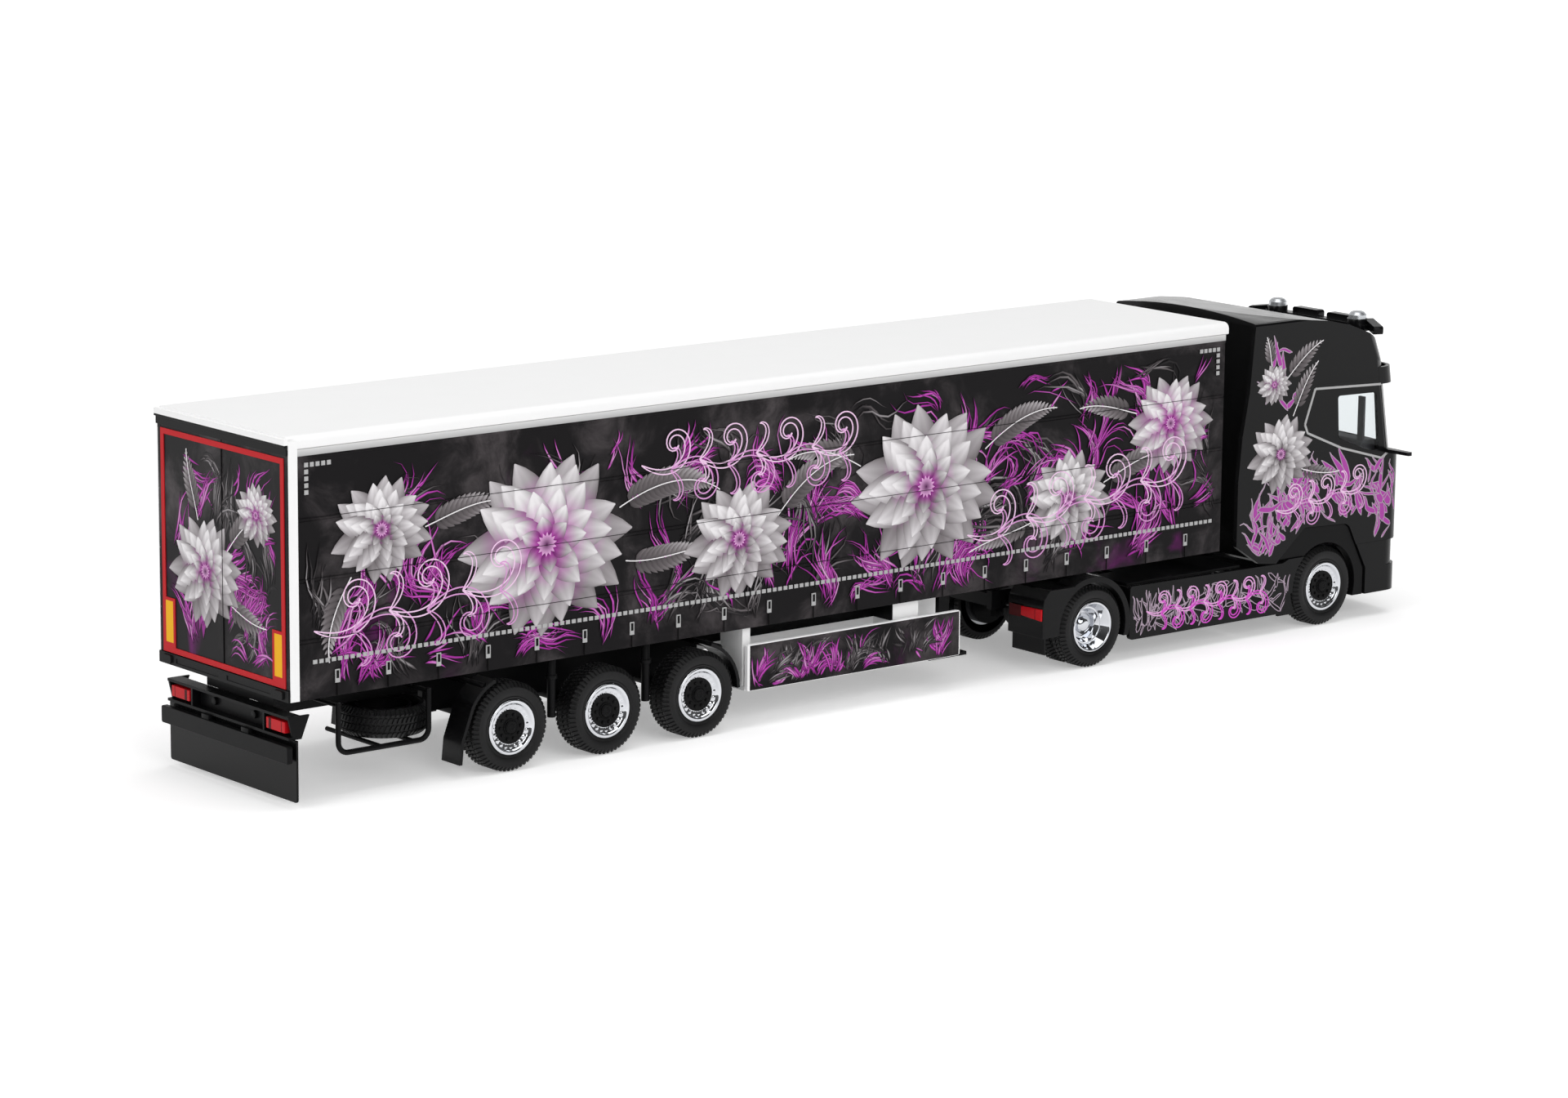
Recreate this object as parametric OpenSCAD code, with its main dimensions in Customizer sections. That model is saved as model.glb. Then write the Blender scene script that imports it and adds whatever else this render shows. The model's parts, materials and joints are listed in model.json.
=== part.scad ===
// Curtain-side semi-trailer truck: a collector's scale model at 1:87 (H0).
// +X points forward, +Y to the left and +Z up; the origin lies on the ground under the middle
// of the model. All sizes are the model's own, in millimetres.

/* [Trailer box] */
// Length of the box, from its rear face to its front wall
box_length = 156.9; // [145:0.1:170]
// Width over the curtains
box_width = 29.3; // [28:0.1:31]
// Height of the curtains' lower edge above the ground
curtain_bottom = 13.55; // [13.4:0.05:14.5]
// Height of the curtains, up to the roof
curtain_height = 31; // [28:0.1:33]
// Thickness of the curtains, the front wall and the doors
wall = 0.8; // [0.6:0.05:1]
// Height of the roof above the curtains
roof_rise = 1.65; // [1.4:0.05:2]
// Radius of the roof's long edges
roof_edge = 0.9; // [0.4:0.05:1.1]
// How far the roof stands out past the front wall
roof_lip = 0.6; // [0.2:0.05:1]
// Height of the rail along the top of each curtain
rail_height = 1.2; // [0.8:0.05:1.6]
// Thickness of the floor
floor_t = 1; // [0.8:0.05:1.4]
// Step from the curtains' lower edge up to the underside of the floor
floor_step = 0.45; // [0.3:0.05:0.6]
// Height of the doors' header
header_height = 0.65; // [0.5:0.05:1]
// Height of the sill under the doors
sill_height = 1.45; // [1.1:0.05:1.8]
// How far the header's upper step stands out behind the doors
rear_lip = 0.5; // [0.3:0.05:0.8]

/* [Trailer chassis] */
// Distance of the last trailer axle from the rear face
last_axle = 33.17; // [30:0.05:37]
// Distance between the trailer's axles
axle_pitch = 15.06; // [14.4:0.02:16]
// Distance from the front wall back to the kingpin
kingpin_setback = 18.7; // [17:0.1:20]
// Distance from the kingpin back to the landing legs
leg_setback = 27.6; // [26:0.1:30]
// Distance of each chassis rail from the middle
rail_offset = 4.5; // [4:0.1:5]
// Thickness of the chassis rails
rail_t = 1; // [0.8:0.05:1.3]
// Height of the chassis rails' lower edge above the ground
rail_bottom = 9.8; // [9.6:0.05:10.5]
// Depth of a pallet box, from its face inward
pallet_box_depth = 5.7; // [5:0.1:6]
// Height of a pallet box's lower edge above the ground
pallet_box_bottom = 5.1; // [4.6:0.05:5.6]
// Height of a pallet box's face
pallet_box_height = 6.2; // [5.6:0.05:6.8]
// Diameter of the spare wheel carrier's tube
carrier_tube = 0.7; // [0.5:0.05:0.9]

/* [Wheels] */
// Radius of every tyre
tyre_radius = 5.76; // [5.5:0.02:5.9]
// Radius of the rims under the tyres
rim_radius = 3.55; // [3.4:0.02:3.7]
// Radius of the hubs
hub_radius = 2.2; // [2:0.02:2.4]
// Radius of the axle rods
axle_radius = 0.7; // [0.5:0.05:0.9]
// Width of a trailer tyre
trailer_tyre_width = 4.1; // [3.7:0.05:4.3]
// Width of a steering tyre
steer_tyre_width = 3.6; // [3.2:0.05:3.9]
// Width of one of the twin tyres
twin_tyre_width = 3.2; // [2.9:0.05:3.4]
// Gap between the twin tyres
twin_gap = 0.45; // [0.3:0.05:0.6]

/* [Tractor] */
// Gap between the trailer's roof and the rear edge of the cab's side fins
cab_gap = 2.9; // [2.6:0.1:4]
// Distance of the kingpin ahead of the drive axle
kingpin_lead = 5.55; // [5:0.05:6.6]
// Distance from the steering axle to the front of the bumper
front_overhang = 17.1; // [16.6:0.1:17.8]
// Distance from the drive axle to the rear end of the frame
rear_overhang = 10.2; // [10:0.1:11]
// Width over the tractor's side skirts
tractor_width = 28.9; // [28:0.1:29.2]
// Distance of each frame rail from the middle
frame_offset = 4.4; // [4:0.1:4.8]
// Height of the frame's upper edge above the ground
frame_top = 10.4; // [10:0.05:10.6]
// Depth of the frame rails
frame_depth = 2.6; // [2.2:0.05:2.8]
// Thickness of the side skirts
skirt_t = 0.6; // [0.5:0.05:0.8]
// Height of the side skirts' lower edge above the ground
skirt_bottom = 2.85; // [2.6:0.05:3.2]

/* [Cab] */
// Width of the cab
cab_width = 28.8; // [28:0.1:29.2]
// Height of the seam between the cab and its high roof
seam_height = 35.5; // [35.2:0.05:36]
// Height of the high roof above its seam
high_roof = 10.8; // [10.2:0.1:11.4]
// Thickness of the cab's walls
cab_wall = 0.7; // [0.5:0.05:0.9]
// Gap between the cab and the trailer's front corners as the trailer swings
swing_gap = 0.75; // [0.6:0.05:1]
// Distance from the steering axle back to the rear edge of the side fins
fin_back = 18.1; // [17.8:0.1:18.4]
// Radius of the cab's front corners, seen from above
corner_radius = 3; // [2.6:0.1:3.6]
// Radius of the bow of the cab's front, seen from above
bow_radius = 60; // [50:1:80]
// Lean of the windscreen, in degrees
screen_rake = 9.4; // [7:0.2:11]
// How far the camera arms reach past the cab's sides
arm_reach = 4.3; // [3.8:0.1:4.8]

/* [Fits] */
// Running gap round each axle rod and the kingpin
running_gap = 0.05; // [0.03:0.01:0.08]
// Gap round pieces that are pushed into others
push_gap = 0.02; // [0.01:0.01:0.04]
// Gap between the fifth wheel and the trailer's coupling plate
coupling_gap = 0.1; // [0.05:0.05:0.2]
// Radius of the kingpin
kingpin_radius = 1; // [0.8:0.05:1.2]

/* [Hidden] */
$fn = 48;

// Places along the model, all worked out from the rear face of the trailer's box
steer_from_rear = box_length + roof_lip + cab_gap + fin_back;
tail_x = (rear_lip - steer_from_rear - front_overhang) / 2;
box_front_x = tail_x + box_length;
kingpin_x = box_front_x - kingpin_setback;
drive_x = kingpin_x - kingpin_lead;
steer_x = tail_x + steer_from_rear;
nose_x = steer_x + front_overhang;
leg_x = kingpin_x - leg_setback;
axle_count = 3;
axle_x = [for (i = [0:axle_count - 1]) tail_x + last_axle + i * axle_pitch];
first_axle_x = axle_x[axle_count - 1];

// Heights and half widths
axle_z = tyre_radius;
box_half = box_width / 2;
box_inner = box_half - wall;
curtain_top = curtain_bottom + curtain_height;
roof_top = curtain_top + roof_rise;
floor_z = curtain_bottom + floor_step;
coupling_t = floor_step + 0.25;
coupling_z = floor_z - coupling_t;
fifth_wheel_z = coupling_z - coupling_gap;
door_bottom = curtain_bottom + sill_height;
door_top = curtain_top - header_height;
cab_half = cab_width / 2;
cab_height = seam_height + high_roof;
tractor_half = tractor_width / 2;
frame_bottom = frame_top - frame_depth;

// Outlines: each row is [x, y, corner radius], and corner_steps flats make up a corner
corner_steps = 6;
function unit(v) = v / norm(v);
function wrap(a) = a > 180 ? a - 360 : a < -180 ? a + 360 : a;
function rounded_corner(before, at, after) =
  let (
    p = [at[0], at[1]],
    a = unit([before[0], before[1]] - p),
    b = unit([after[0], after[1]] - p),
    half = acos(a * b) / 2,
    r = at[2],
    mid = p + unit(a + b) * r / sin(half),
    start = p + a * r / tan(half) - mid,
    stop = p + b * r / tan(half) - mid,
    from = atan2(start[1], start[0]),
    turn = wrap(atan2(stop[1], stop[0]) - from)
  )
  arc(mid, r, from, from + turn, corner_steps);
function outline(rows) = [
  for (i = [0:len(rows) - 1])
    let (n = len(rows), at = rows[i])
    each at[2] > 0 ? rounded_corner(rows[(i + n - 1) % n], at, rows[(i + 1) % n]) : [[at[0], at[1]]]
];
// Points along the arc of a circle about mid
function arc(mid, r, from, to, steps) = [
  for (i = [0:steps]) let (a = from + (to - from) * i / steps) mid + r * [cos(a), sin(a)]
];

// Extrusions of an outline seen from the side (X, Z) and from behind (Y, Z)
module side_prism(points, y_from, y_to) {
  translate([0, y_to, 0]) rotate([90, 0, 0]) linear_extrude(y_to - y_from) polygon(points);
}
module rear_prism(points, x_from, x_to) {
  translate([x_from, 0, 0]) rotate([90, 0, 90]) linear_extrude(x_to - x_from) polygon(points);
}
// A box from its lowest to its highest corner
module block(low, high) {
  translate(low) cube(high - low);
}
module both_sides() {
  children();
  mirror([0, 1, 0]) children();
}
// A rod or bore along Y, or along X
module rod_y(x, z, r, y_from, y_to) {
  translate([x, y_to, z]) rotate([90, 0, 0]) cylinder(r = r, h = y_to - y_from);
}
module rod_x(y, z, r, x_from, x_to) {
  translate([x_from, y, z]) rotate([0, 90, 0]) cylinder(r = r, h = x_to - x_from);
}
module rod_z(x, y, r, z_from, z_to) {
  translate([x, y, z_from]) cylinder(r = r, h = z_to - z_from);
}

// Wheels: a tyre turns about Y, with its outer face at y_face on the left side
tyre_bead = rim_radius + push_gap;
bead_width = 0.45;
bead_depth = 0.25;
shoulder_drop = 0.62;
shoulder_depth = 0.6;
function tyre_rows(width) = [
  [tyre_bead, bead_depth],
  [tyre_bead + bead_width, 0.05],
  [tyre_radius - shoulder_drop, 0],
  [tyre_radius, shoulder_depth],
  [tyre_radius, width - shoulder_depth],
  [tyre_radius - shoulder_drop, width],
  [tyre_bead + bead_width, width - 0.05],
  [tyre_bead, width - bead_depth]
];
module turned(x, y_face) {
  translate([x, y_face, axle_z]) rotate([90, 0, 0]) rotate_extrude() children();
}
module tyre(x, y_face, width) {
  turned(x, y_face) polygon(tyre_rows(width));
}
// An outer rim ring that drops to a hub seat: rows run from the hub out to the tyre's bead
rim_lip = 0.4;
rim_dish = 0.45;
rim_flange = 0.3;
seat_depth = 0.5;
module ring_rim(x, y_face, width) {
  hub_seat = hub_radius + push_gap;
  turned(x, y_face) polygon([
    [hub_seat, rim_dish],
    [rim_radius - rim_lip - 0.15, rim_dish / 2],
    [rim_radius - rim_lip, 0],
    [rim_radius, 0],
    [rim_radius, width - bead_depth],
    [rim_radius - rim_flange, width - bead_depth],
    [rim_radius - rim_flange, rim_dish + seat_depth],
    [hub_seat, rim_dish + seat_depth]
  ]);
}
// The hub: a disc in the rim with a raised cap, carried by the axle rod
cap_radius = 0.85;
cap_edge = 0.15;
cap_face = 0.05;
module hub(x, y_face) {
  turned(x, y_face) polygon([
    [0, cap_face],
    [cap_radius - cap_edge, cap_face],
    [cap_radius, cap_face + cap_edge],
    [cap_radius, rim_dish - 0.05],
    [hub_radius, rim_dish - 0.1],
    [hub_radius, rim_dish + seat_depth + 0.1],
    [0, rim_dish + seat_depth + 0.1]
  ]);
}
module axle_rod(x, y_face) {
  end_y = y_face - rim_dish - seat_depth / 2;
  both_sides() hub(x, y_face);
  rod_y(x, axle_z, axle_radius, -end_y, end_y);
}
module bearing_bore(x) {
  rod_y(x, axle_z, axle_radius + running_gap, -box_half, box_half);
}

// Trailer axle sets
module trailer_axle(i) {
  color("#1b1b1c") axle_rod(axle_x[i - 1], box_half);
}
module trailer_rims(i) {
  color("#d8dadb") both_sides() ring_rim(axle_x[i - 1], box_half, trailer_tyre_width);
}
module trailer_tyres(i) {
  color("#202021") both_sides() tyre(axle_x[i - 1], box_half, trailer_tyre_width);
}

// Tractor axle sets; the drive wheels have deep dished rims between twin tyres
steer_face = tractor_half - 0.2;
drive_face = tractor_half + 0.15;
drive_width = 2 * twin_tyre_width + twin_gap;
module steer_axle() {
  color("#1b1b1c") axle_rod(steer_x, steer_face);
}
module steer_rims() {
  color("#d8dadb") both_sides() ring_rim(steer_x, steer_face, steer_tyre_width);
}
module steer_tyres() {
  color("#202021") both_sides() tyre(steer_x, steer_face, steer_tyre_width);
}
// The drive axle carries a brake drum behind each rim
dish_depth = 2.6;
dish_radius = 1.9;
dish_step = 1.3;
boss_radius = 1.15;
boss_reach = 1.1;
drum_radius = 3.2;
drum_depth = 1.1;
drum_face = drive_face - drive_width + bead_depth - push_gap;
module drive_axle() {
  end_y = drive_face - dish_depth - 0.5;
  color("#1b1b1c") union() {
    rod_y(drive_x, axle_z, axle_radius, -end_y, end_y);
    both_sides() rod_y(drive_x, axle_z, drum_radius, drum_face - drum_depth, drum_face);
  }
}
module drive_rims() {
  rod_seat = axle_radius + push_gap;
  boss_face = dish_depth - boss_reach;
  color("#d8dadb") both_sides() turned(drive_x, drive_face) polygon([
    [0, boss_face],
    [boss_radius - 0.25, boss_face],
    [boss_radius, boss_face + 0.3],
    [boss_radius, dish_depth],
    [dish_radius, dish_depth],
    [dish_radius + 0.5, dish_step],
    [dish_radius + 0.75, dish_step],
    [rim_radius - 0.4, 0.3],
    [rim_radius - 0.25, 0],
    [rim_radius, 0],
    [rim_radius, drive_width - bead_depth],
    [rod_seat, drive_width - bead_depth],
    [rod_seat, dish_depth + 0.4],
    [0, dish_depth + 0.4]
  ]);
}
module drive_tyres() {
  color("#202021") both_sides() for (i = [0, 1])
    tyre(drive_x, drive_face - i * (twin_tyre_width + twin_gap), twin_tyre_width);
}

// Trailer chassis: rails that are deeper at the axles, cross members, and a damper between each two axles
rail_start = 2.2;
rail_front = leg_x + 4;
bracket_half = 1.5;
bracket_foot = 1.6;
bogie_bottom = 6.9;
bogie_reach = 7;
cross_half = 0.6;
cross_depth = 2.2;
rear_cross_half = 7.5;
damper_y = box_half - 1.95;
damper_radius = 0.55;
damper_foot = 5.7;
collar_radius = 0.75;
collar_z = 10.7;
collar_t = 0.5;
module trailer_frame() {
  rail_rear = tail_x + rail_start;
  rail_inner = rail_offset - rail_t / 2;
  rail_outer = rail_offset + rail_t / 2;
  damper_x = [for (i = [1:axle_count - 1]) (axle_x[i - 1] + axle_x[i]) / 2];
  cross_x = concat(damper_x, [first_axle_x + bogie_reach, leg_x - 12, leg_x, rail_front - cross_half]);
  color("#232425") difference() {
    union() {
      both_sides() {
        block([rail_rear, rail_inner, rail_bottom], [rail_front, rail_outer, floor_z]);
        block(
          [axle_x[0] - bogie_reach, rail_inner, bogie_bottom],
          [first_axle_x + bogie_reach, rail_outer, rail_bottom]
        );
        for (x = axle_x)
          block(
            [x - bracket_half, rail_inner, axle_z - bracket_foot],
            [x + bracket_half, rail_outer, rail_bottom]
          );
        for (x = damper_x) {
          rod_z(x, damper_y, damper_radius, damper_foot, floor_z);
          rod_z(x, damper_y, collar_radius, collar_z, collar_z + collar_t);
        }
      }
      for (x = cross_x)
        block([x - cross_half, -rail_offset, floor_z - cross_depth], [x + cross_half, rail_offset, floor_z]);
      for (x = damper_x)
        block([x - cross_half, -damper_y, floor_z - cross_depth / 2], [x + cross_half, damper_y, floor_z]);
      block(
        [rail_rear, -rear_cross_half, bumper_high],
        [rail_rear + 2 * cross_half, rear_cross_half, floor_z]
      );
    }
    for (x = axle_x) bearing_bore(x);
  }
}

module trailer_floor() {
  color("#cfd0cc") block(
    [tail_x + wall, -box_inner, floor_z],
    [box_front_x - wall, box_inner, floor_z + floor_t]
  );
}

// Plate under the trailer's neck, with the kingpin
plate_half = 9;
plate_back = 14;
plate_front = 12;
pin_length = 1.7;
module coupling_plate() {
  color("#2a2b2c") union() {
    block([kingpin_x - plate_back, -plate_half, coupling_z], [kingpin_x + plate_front, plate_half, floor_z]);
    rod_z(kingpin_x, 0, kingpin_radius, coupling_z - pin_length, coupling_z);
  }
}

module front_wall() {
  color("#f2f2ee") block(
    [box_front_x - wall, -box_inner, curtain_bottom],
    [box_front_x, box_inner, curtain_top]
  );
}

// A curtain: a flat side with three pressed lines and a rail along its top
line_depth = 0.08;
line_width = 0.18;
line_pitch = 7.55;
rail_proud = 0.1;
module curtain() {
  difference() {
    union() {
      block([tail_x, box_inner, curtain_bottom], [box_front_x, box_half - rail_proud, curtain_top]);
      block([tail_x, box_inner, curtain_top - rail_height], [box_front_x, box_half, curtain_top]);
    }
    for (i = [1:3]) let (z = curtain_top - rail_height - i * line_pitch)
      block(
        [tail_x - 1, box_half - rail_proud - line_depth, z - line_width],
        [box_front_x + 1, box_half, z]
      );
  }
}
module curtain_left() {
  color("#1c1c1e") curtain();
}
module curtain_right() {
  color("#1c1c1e") mirror([0, 1, 0]) curtain();
}

// Roof: a tray turned over the walls, with rounded long edges
roof_skin = 0.9;
module roof_body(x_from, x_to, z_from, z_to) {
  rear_prism(outline([
    [-box_half, z_from, 0],
    [box_half, z_from, 0],
    [box_half, z_to, roof_edge],
    [-box_half, z_to, roof_edge]
  ]), x_from, x_to);
}
module trailer_roof() {
  color("#f4f4f1") difference() {
    roof_body(tail_x, box_front_x + roof_lip, curtain_top, roof_top);
    block(
      [tail_x + wall, -box_inner, curtain_top - 1],
      [box_front_x - wall, box_inner, roof_top - roof_skin]
    );
  }
}

// Rear frame: stepped header above the doors and sill with buffers below
header_drop = 0.3;
buffer_inner = 11.6;
buffer_outer = 13.6;
recess_inner = 0.9;
recess_outer = 10.7;
recess_depth = 0.1;
module rear_frame() {
  lip_top = roof_top - header_drop;
  step = rear_lip / 2;
  color("#1d1d1f") difference() {
    union() {
      block([tail_x, -box_inner, door_top], [tail_x + wall, box_inner, curtain_top]);
      roof_body(tail_x - step, tail_x, door_top, lip_top);
      roof_body(tail_x - rear_lip, tail_x, (door_top + lip_top) / 2, lip_top);
      block([tail_x, -box_inner, curtain_bottom], [tail_x + wall, box_inner, door_bottom]);
      block([tail_x - step, -box_half, curtain_bottom], [tail_x, box_half, door_bottom]);
      both_sides() rear_prism(
        outline([
          [buffer_inner, curtain_bottom + 0.2, 0.3],
          [buffer_outer, curtain_bottom + 0.2, 0.3],
          [buffer_outer, door_bottom - 0.2, 0.3],
          [buffer_inner, door_bottom - 0.2, 0.3]
        ]),
        tail_x - rear_lip, tail_x
      );
    }
    both_sides() block(
      [tail_x - step - 1, recess_inner, curtain_bottom + 0.4],
      [tail_x - step + recess_depth, recess_outer, door_bottom - 0.45]
    );
  }
}

// Two door leaves that meet in a groove
door_groove = 0.15;
module rear_doors() {
  color("#1c1c1e") difference() {
    block([tail_x, -box_inner, door_bottom], [tail_x + wall, box_inner, door_top]);
    block(
      [tail_x - 1, -door_groove / 2, door_bottom - 1],
      [tail_x + door_groove, door_groove / 2, door_top + 1]
    );
  }
}

// Rear bumper: a channel between two shelves and two end plates, with a pocket for a lamp at each end
bumper_half = box_half - 0.95;
bumper_rear = 0.3;
bumper_web = 1.6;
bumper_low = 8.6;
bumper_high = 11.5;
shelf_t = 0.35;
plate_foot = 1;
plate_reach = 3.4;
lamp_inner = 8.7;
lamp_outer = 12.8;
lamp_rear = 0.35;
lamp_gap = 0.4;
stud_radius = 0.5;
stud_reach = 0.4;
module rear_bumper() {
  low = bumper_low + shelf_t;
  high = bumper_high - shelf_t;
  color("#1d1d1f") union() {
    block([tail_x + bumper_web, -bumper_half, bumper_low], [tail_x + rail_start, bumper_half, bumper_high]);
    block([tail_x + bumper_rear, -bumper_half, high], [tail_x + rail_start, bumper_half, bumper_high]);
    block([tail_x + bumper_rear, -bumper_half, bumper_low], [tail_x + rail_start, bumper_half, low]);
    both_sides() {
      side_prism(
        [
          [tail_x + bumper_rear, bumper_high],
          [tail_x + plate_foot, bumper_low],
          [tail_x + rail_start, bumper_low],
          [tail_x + plate_reach, bumper_high]
        ],
        bumper_half - shelf_t, bumper_half
      );
      block(
        [tail_x + lamp_rear, lamp_inner - lamp_gap - shelf_t, low],
        [tail_x + bumper_web, lamp_inner - lamp_gap, high]
      );
      rod_x(
        rail_offset, (low + high) / 2, stud_radius,
        tail_x + bumper_web - stud_reach, tail_x + bumper_web
      );
    }
  }
}
module trailer_tail_lamps() {
  color("#b3161b") both_sides() block(
    [tail_x + lamp_rear, lamp_inner, bumper_low + shelf_t + lamp_gap],
    [tail_x + bumper_web, lamp_outer, bumper_high - shelf_t - lamp_gap]
  );
}

// Underrun bar below the bumper, on two stays
bar_half = box_half - 0.35;
bar_low = 5.8;
bar_high = 8;
bar_t = 0.8;
bar_rear = -0.3;
stay_half = 0.8;
module underrun_bar() {
  color("#1d1d1f") union() {
    rear_prism(outline([
      [-bar_half, bar_low, 0.3],
      [bar_half, bar_low, 0.3],
      [bar_half, bar_high, 0.3],
      [-bar_half, bar_high, 0.3]
    ]), tail_x + bar_rear, tail_x + bar_rear + bar_t);
    both_sides() block(
      [tail_x + bar_rear + 0.2, rail_offset - stay_half, bar_high - 0.4],
      [tail_x + flap_x, rail_offset + stay_half, bumper_low]
    );
  }
}

flap_half = box_half - 0.3;
flap_low = 0.8;
flap_corner = 0.4;
flap_x = 1;
flap_t = 0.3;
module rear_mudflap() {
  color("#141415") rear_prism(outline([
    [-flap_half, flap_low, flap_corner],
    [flap_half, flap_low, flap_corner],
    [flap_half, bumper_low, 0],
    [-flap_half, bumper_low, 0]
  ]), tail_x + flap_x, tail_x + flap_x + flap_t);
}

// Spare wheel, lying flat in a tube carrier on the right
spare_x = 19.5;
spare_y = -6;
spare_width = 3.6;
spare_low = 5.9;
spare_bore = 0.9;
module laid(x, y, z) {
  translate([x, y, z]) rotate_extrude() children();
}
module spare_tyre() {
  color("#202021") laid(tail_x + spare_x, spare_y, spare_low) polygon(tyre_rows(spare_width));
}
module spare_rim() {
  color("#c9cbcd") laid(tail_x + spare_x, spare_y, spare_low) polygon([
    [spare_bore, rim_dish],
    [hub_radius, rim_dish],
    [rim_radius - rim_lip, bead_depth],
    [rim_radius, bead_depth],
    [rim_radius, spare_width - bead_depth],
    [rim_radius - rim_flange, spare_width - bead_depth],
    [rim_radius - rim_flange, rim_dish + seat_depth],
    [spare_bore, rim_dish + seat_depth]
  ]);
}
// The carrier is a U of tube beside the wheel, with arms from the rail and two struts below the wheel
carrier_rear = 8.5;
carrier_front = 22;
carrier_y = -12.3;
carrier_bend = 1.4;
arm_z = 11.6;
module bent_tube(mid, from) {
  translate(mid) rotate([90, 0, 0]) rotate([0, 0, from])
    rotate_extrude(angle = 90) translate([carrier_bend, 0]) circle(d = carrier_tube);
}
module spare_carrier() {
  r = carrier_tube / 2;
  arm_r = 0.85 * r;
  low = spare_low - r - push_gap;
  x0 = tail_x + carrier_rear;
  x1 = tail_x + carrier_front;
  strut_x = [for (s = [-1, 1]) tail_x + spare_x + s * 2.4 - 2.2];
  rail_face = -rail_offset - rail_t / 2;
  color("#1d1d1f") union() {
    rod_x(carrier_y, low, r, x0 + carrier_bend, x1 - carrier_bend);
    bent_tube([x0 + carrier_bend, carrier_y, low + carrier_bend], 180);
    bent_tube([x1 - carrier_bend, carrier_y, low + carrier_bend], 270);
    for (x = [x0, x1]) {
      rod_z(x, carrier_y, r, low + carrier_bend, arm_z + r);
      rod_y(x, arm_z, arm_r, carrier_y, rail_face);
    }
    for (x = strut_x) rod_y(x, low, arm_r, carrier_y, spare_y + tyre_radius);
  }
}

// Fenders: a band behind the last axle that runs down into a flap, and a quarter ahead of the first axle
fender_inner = box_half - 4.25;
fender_outer = box_half - 0.35;
fender_t = 0.45;
fender_gap = 0.65;
fender_low = 1.9;
flap_lead = [7.6, 0.95];
flap_tail = 7.9;
fender_stay = 0.45;
module trailer_fenders() {
  r = tyre_radius + fender_gap;
  last = [axle_x[0], axle_z];
  first = [first_axle_x, axle_z];
  stay_z = axle_z + r - 0.8;
  rear_band = concat(
    arc(last, r + fender_t, 110, 150, 6),
    [
      last - flap_lead,
      [axle_x[0] - flap_tail, fender_low],
      [axle_x[0] - flap_tail + fender_t, fender_low],
      last - flap_lead + [fender_t, 0]
    ],
    arc(last, r, 150, 110, 6)
  );
  front_band = concat(arc(first, r + fender_t, 0, 72, 8), arc(first, r, 72, 0, 8));
  color("#1d1d1f") both_sides() {
    side_prism(rear_band, fender_inner, fender_outer);
    side_prism(front_band, fender_inner, fender_outer);
    for (x = [axle_x[0] - 3.6, first_axle_x + 3.9])
      rod_y(x, stay_z, fender_stay, rail_offset + rail_t / 2, fender_outer - 0.6);
  }
}

// Pallet boxes: open trays behind a panel between the first axle and the landing legs, hung from the floor
panel_t = 0.6;
panel_edge = 0.3;
pallet_lead = 7.8;
pallet_tail = 2.6;
hanger_share = 0.7;
hanger_width = 4.5;
end_plate_t = 1.3;
module pallet_boxes() {
  x0 = first_axle_x + pallet_lead;
  x1 = leg_x - pallet_tail;
  hanger_x = x0 + (x1 - x0) * hanger_share;
  back = box_half - pallet_box_depth;
  hung = box_inner - 0.3;
  low = pallet_box_bottom;
  high = low + pallet_box_height;
  color("#eceae4") both_sides() union() {
    side_prism(
      outline([
        [x0, low, panel_edge],
        [x1, low, panel_edge],
        [x1, high, panel_edge],
        [x0, high, panel_edge]
      ]),
      box_half - panel_t, box_half
    );
    block([x0, back, low], [x1, box_half - panel_t, low + panel_t]);
    block([x0, back, low], [x1, back + panel_t, floor_z]);
    block([x0, back, low], [x0 + end_plate_t, hung, floor_z]);
    block([hanger_x, back, low], [hanger_x + hanger_width, hung, floor_z]);
    block([x1 - panel_t, back, low], [x1, box_half - panel_t, low + pallet_box_height * 0.75]);
  }
}

// Landing legs with their feet and the shaft between them
leg_y = 7.4;
leg_outer = 1.9;
leg_inner = 1.4;
leg_split = 8.2;
foot_bottom = 4;
foot_t = 0.5;
foot_back = 5.2;
foot_front = 1.6;
foot_outer = 11.4;
foot_inner = 5.9;
module landing_legs() {
  color("#26272a") both_sides() {
    block(
      [leg_x - leg_outer / 2, leg_y - leg_outer / 2, leg_split],
      [leg_x + leg_outer / 2, leg_y + leg_outer / 2, floor_z]
    );
    block(
      [leg_x - leg_inner / 2, leg_y - leg_inner / 2, foot_bottom],
      [leg_x + leg_inner / 2, leg_y + leg_inner / 2, leg_split]
    );
    block(
      [leg_x - foot_back, foot_inner, foot_bottom],
      [leg_x + foot_front, foot_outer, foot_bottom + foot_t]
    );
    rod_y(leg_x, rail_bottom - 1, 0.4, 0, leg_y);
  }
}

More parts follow.
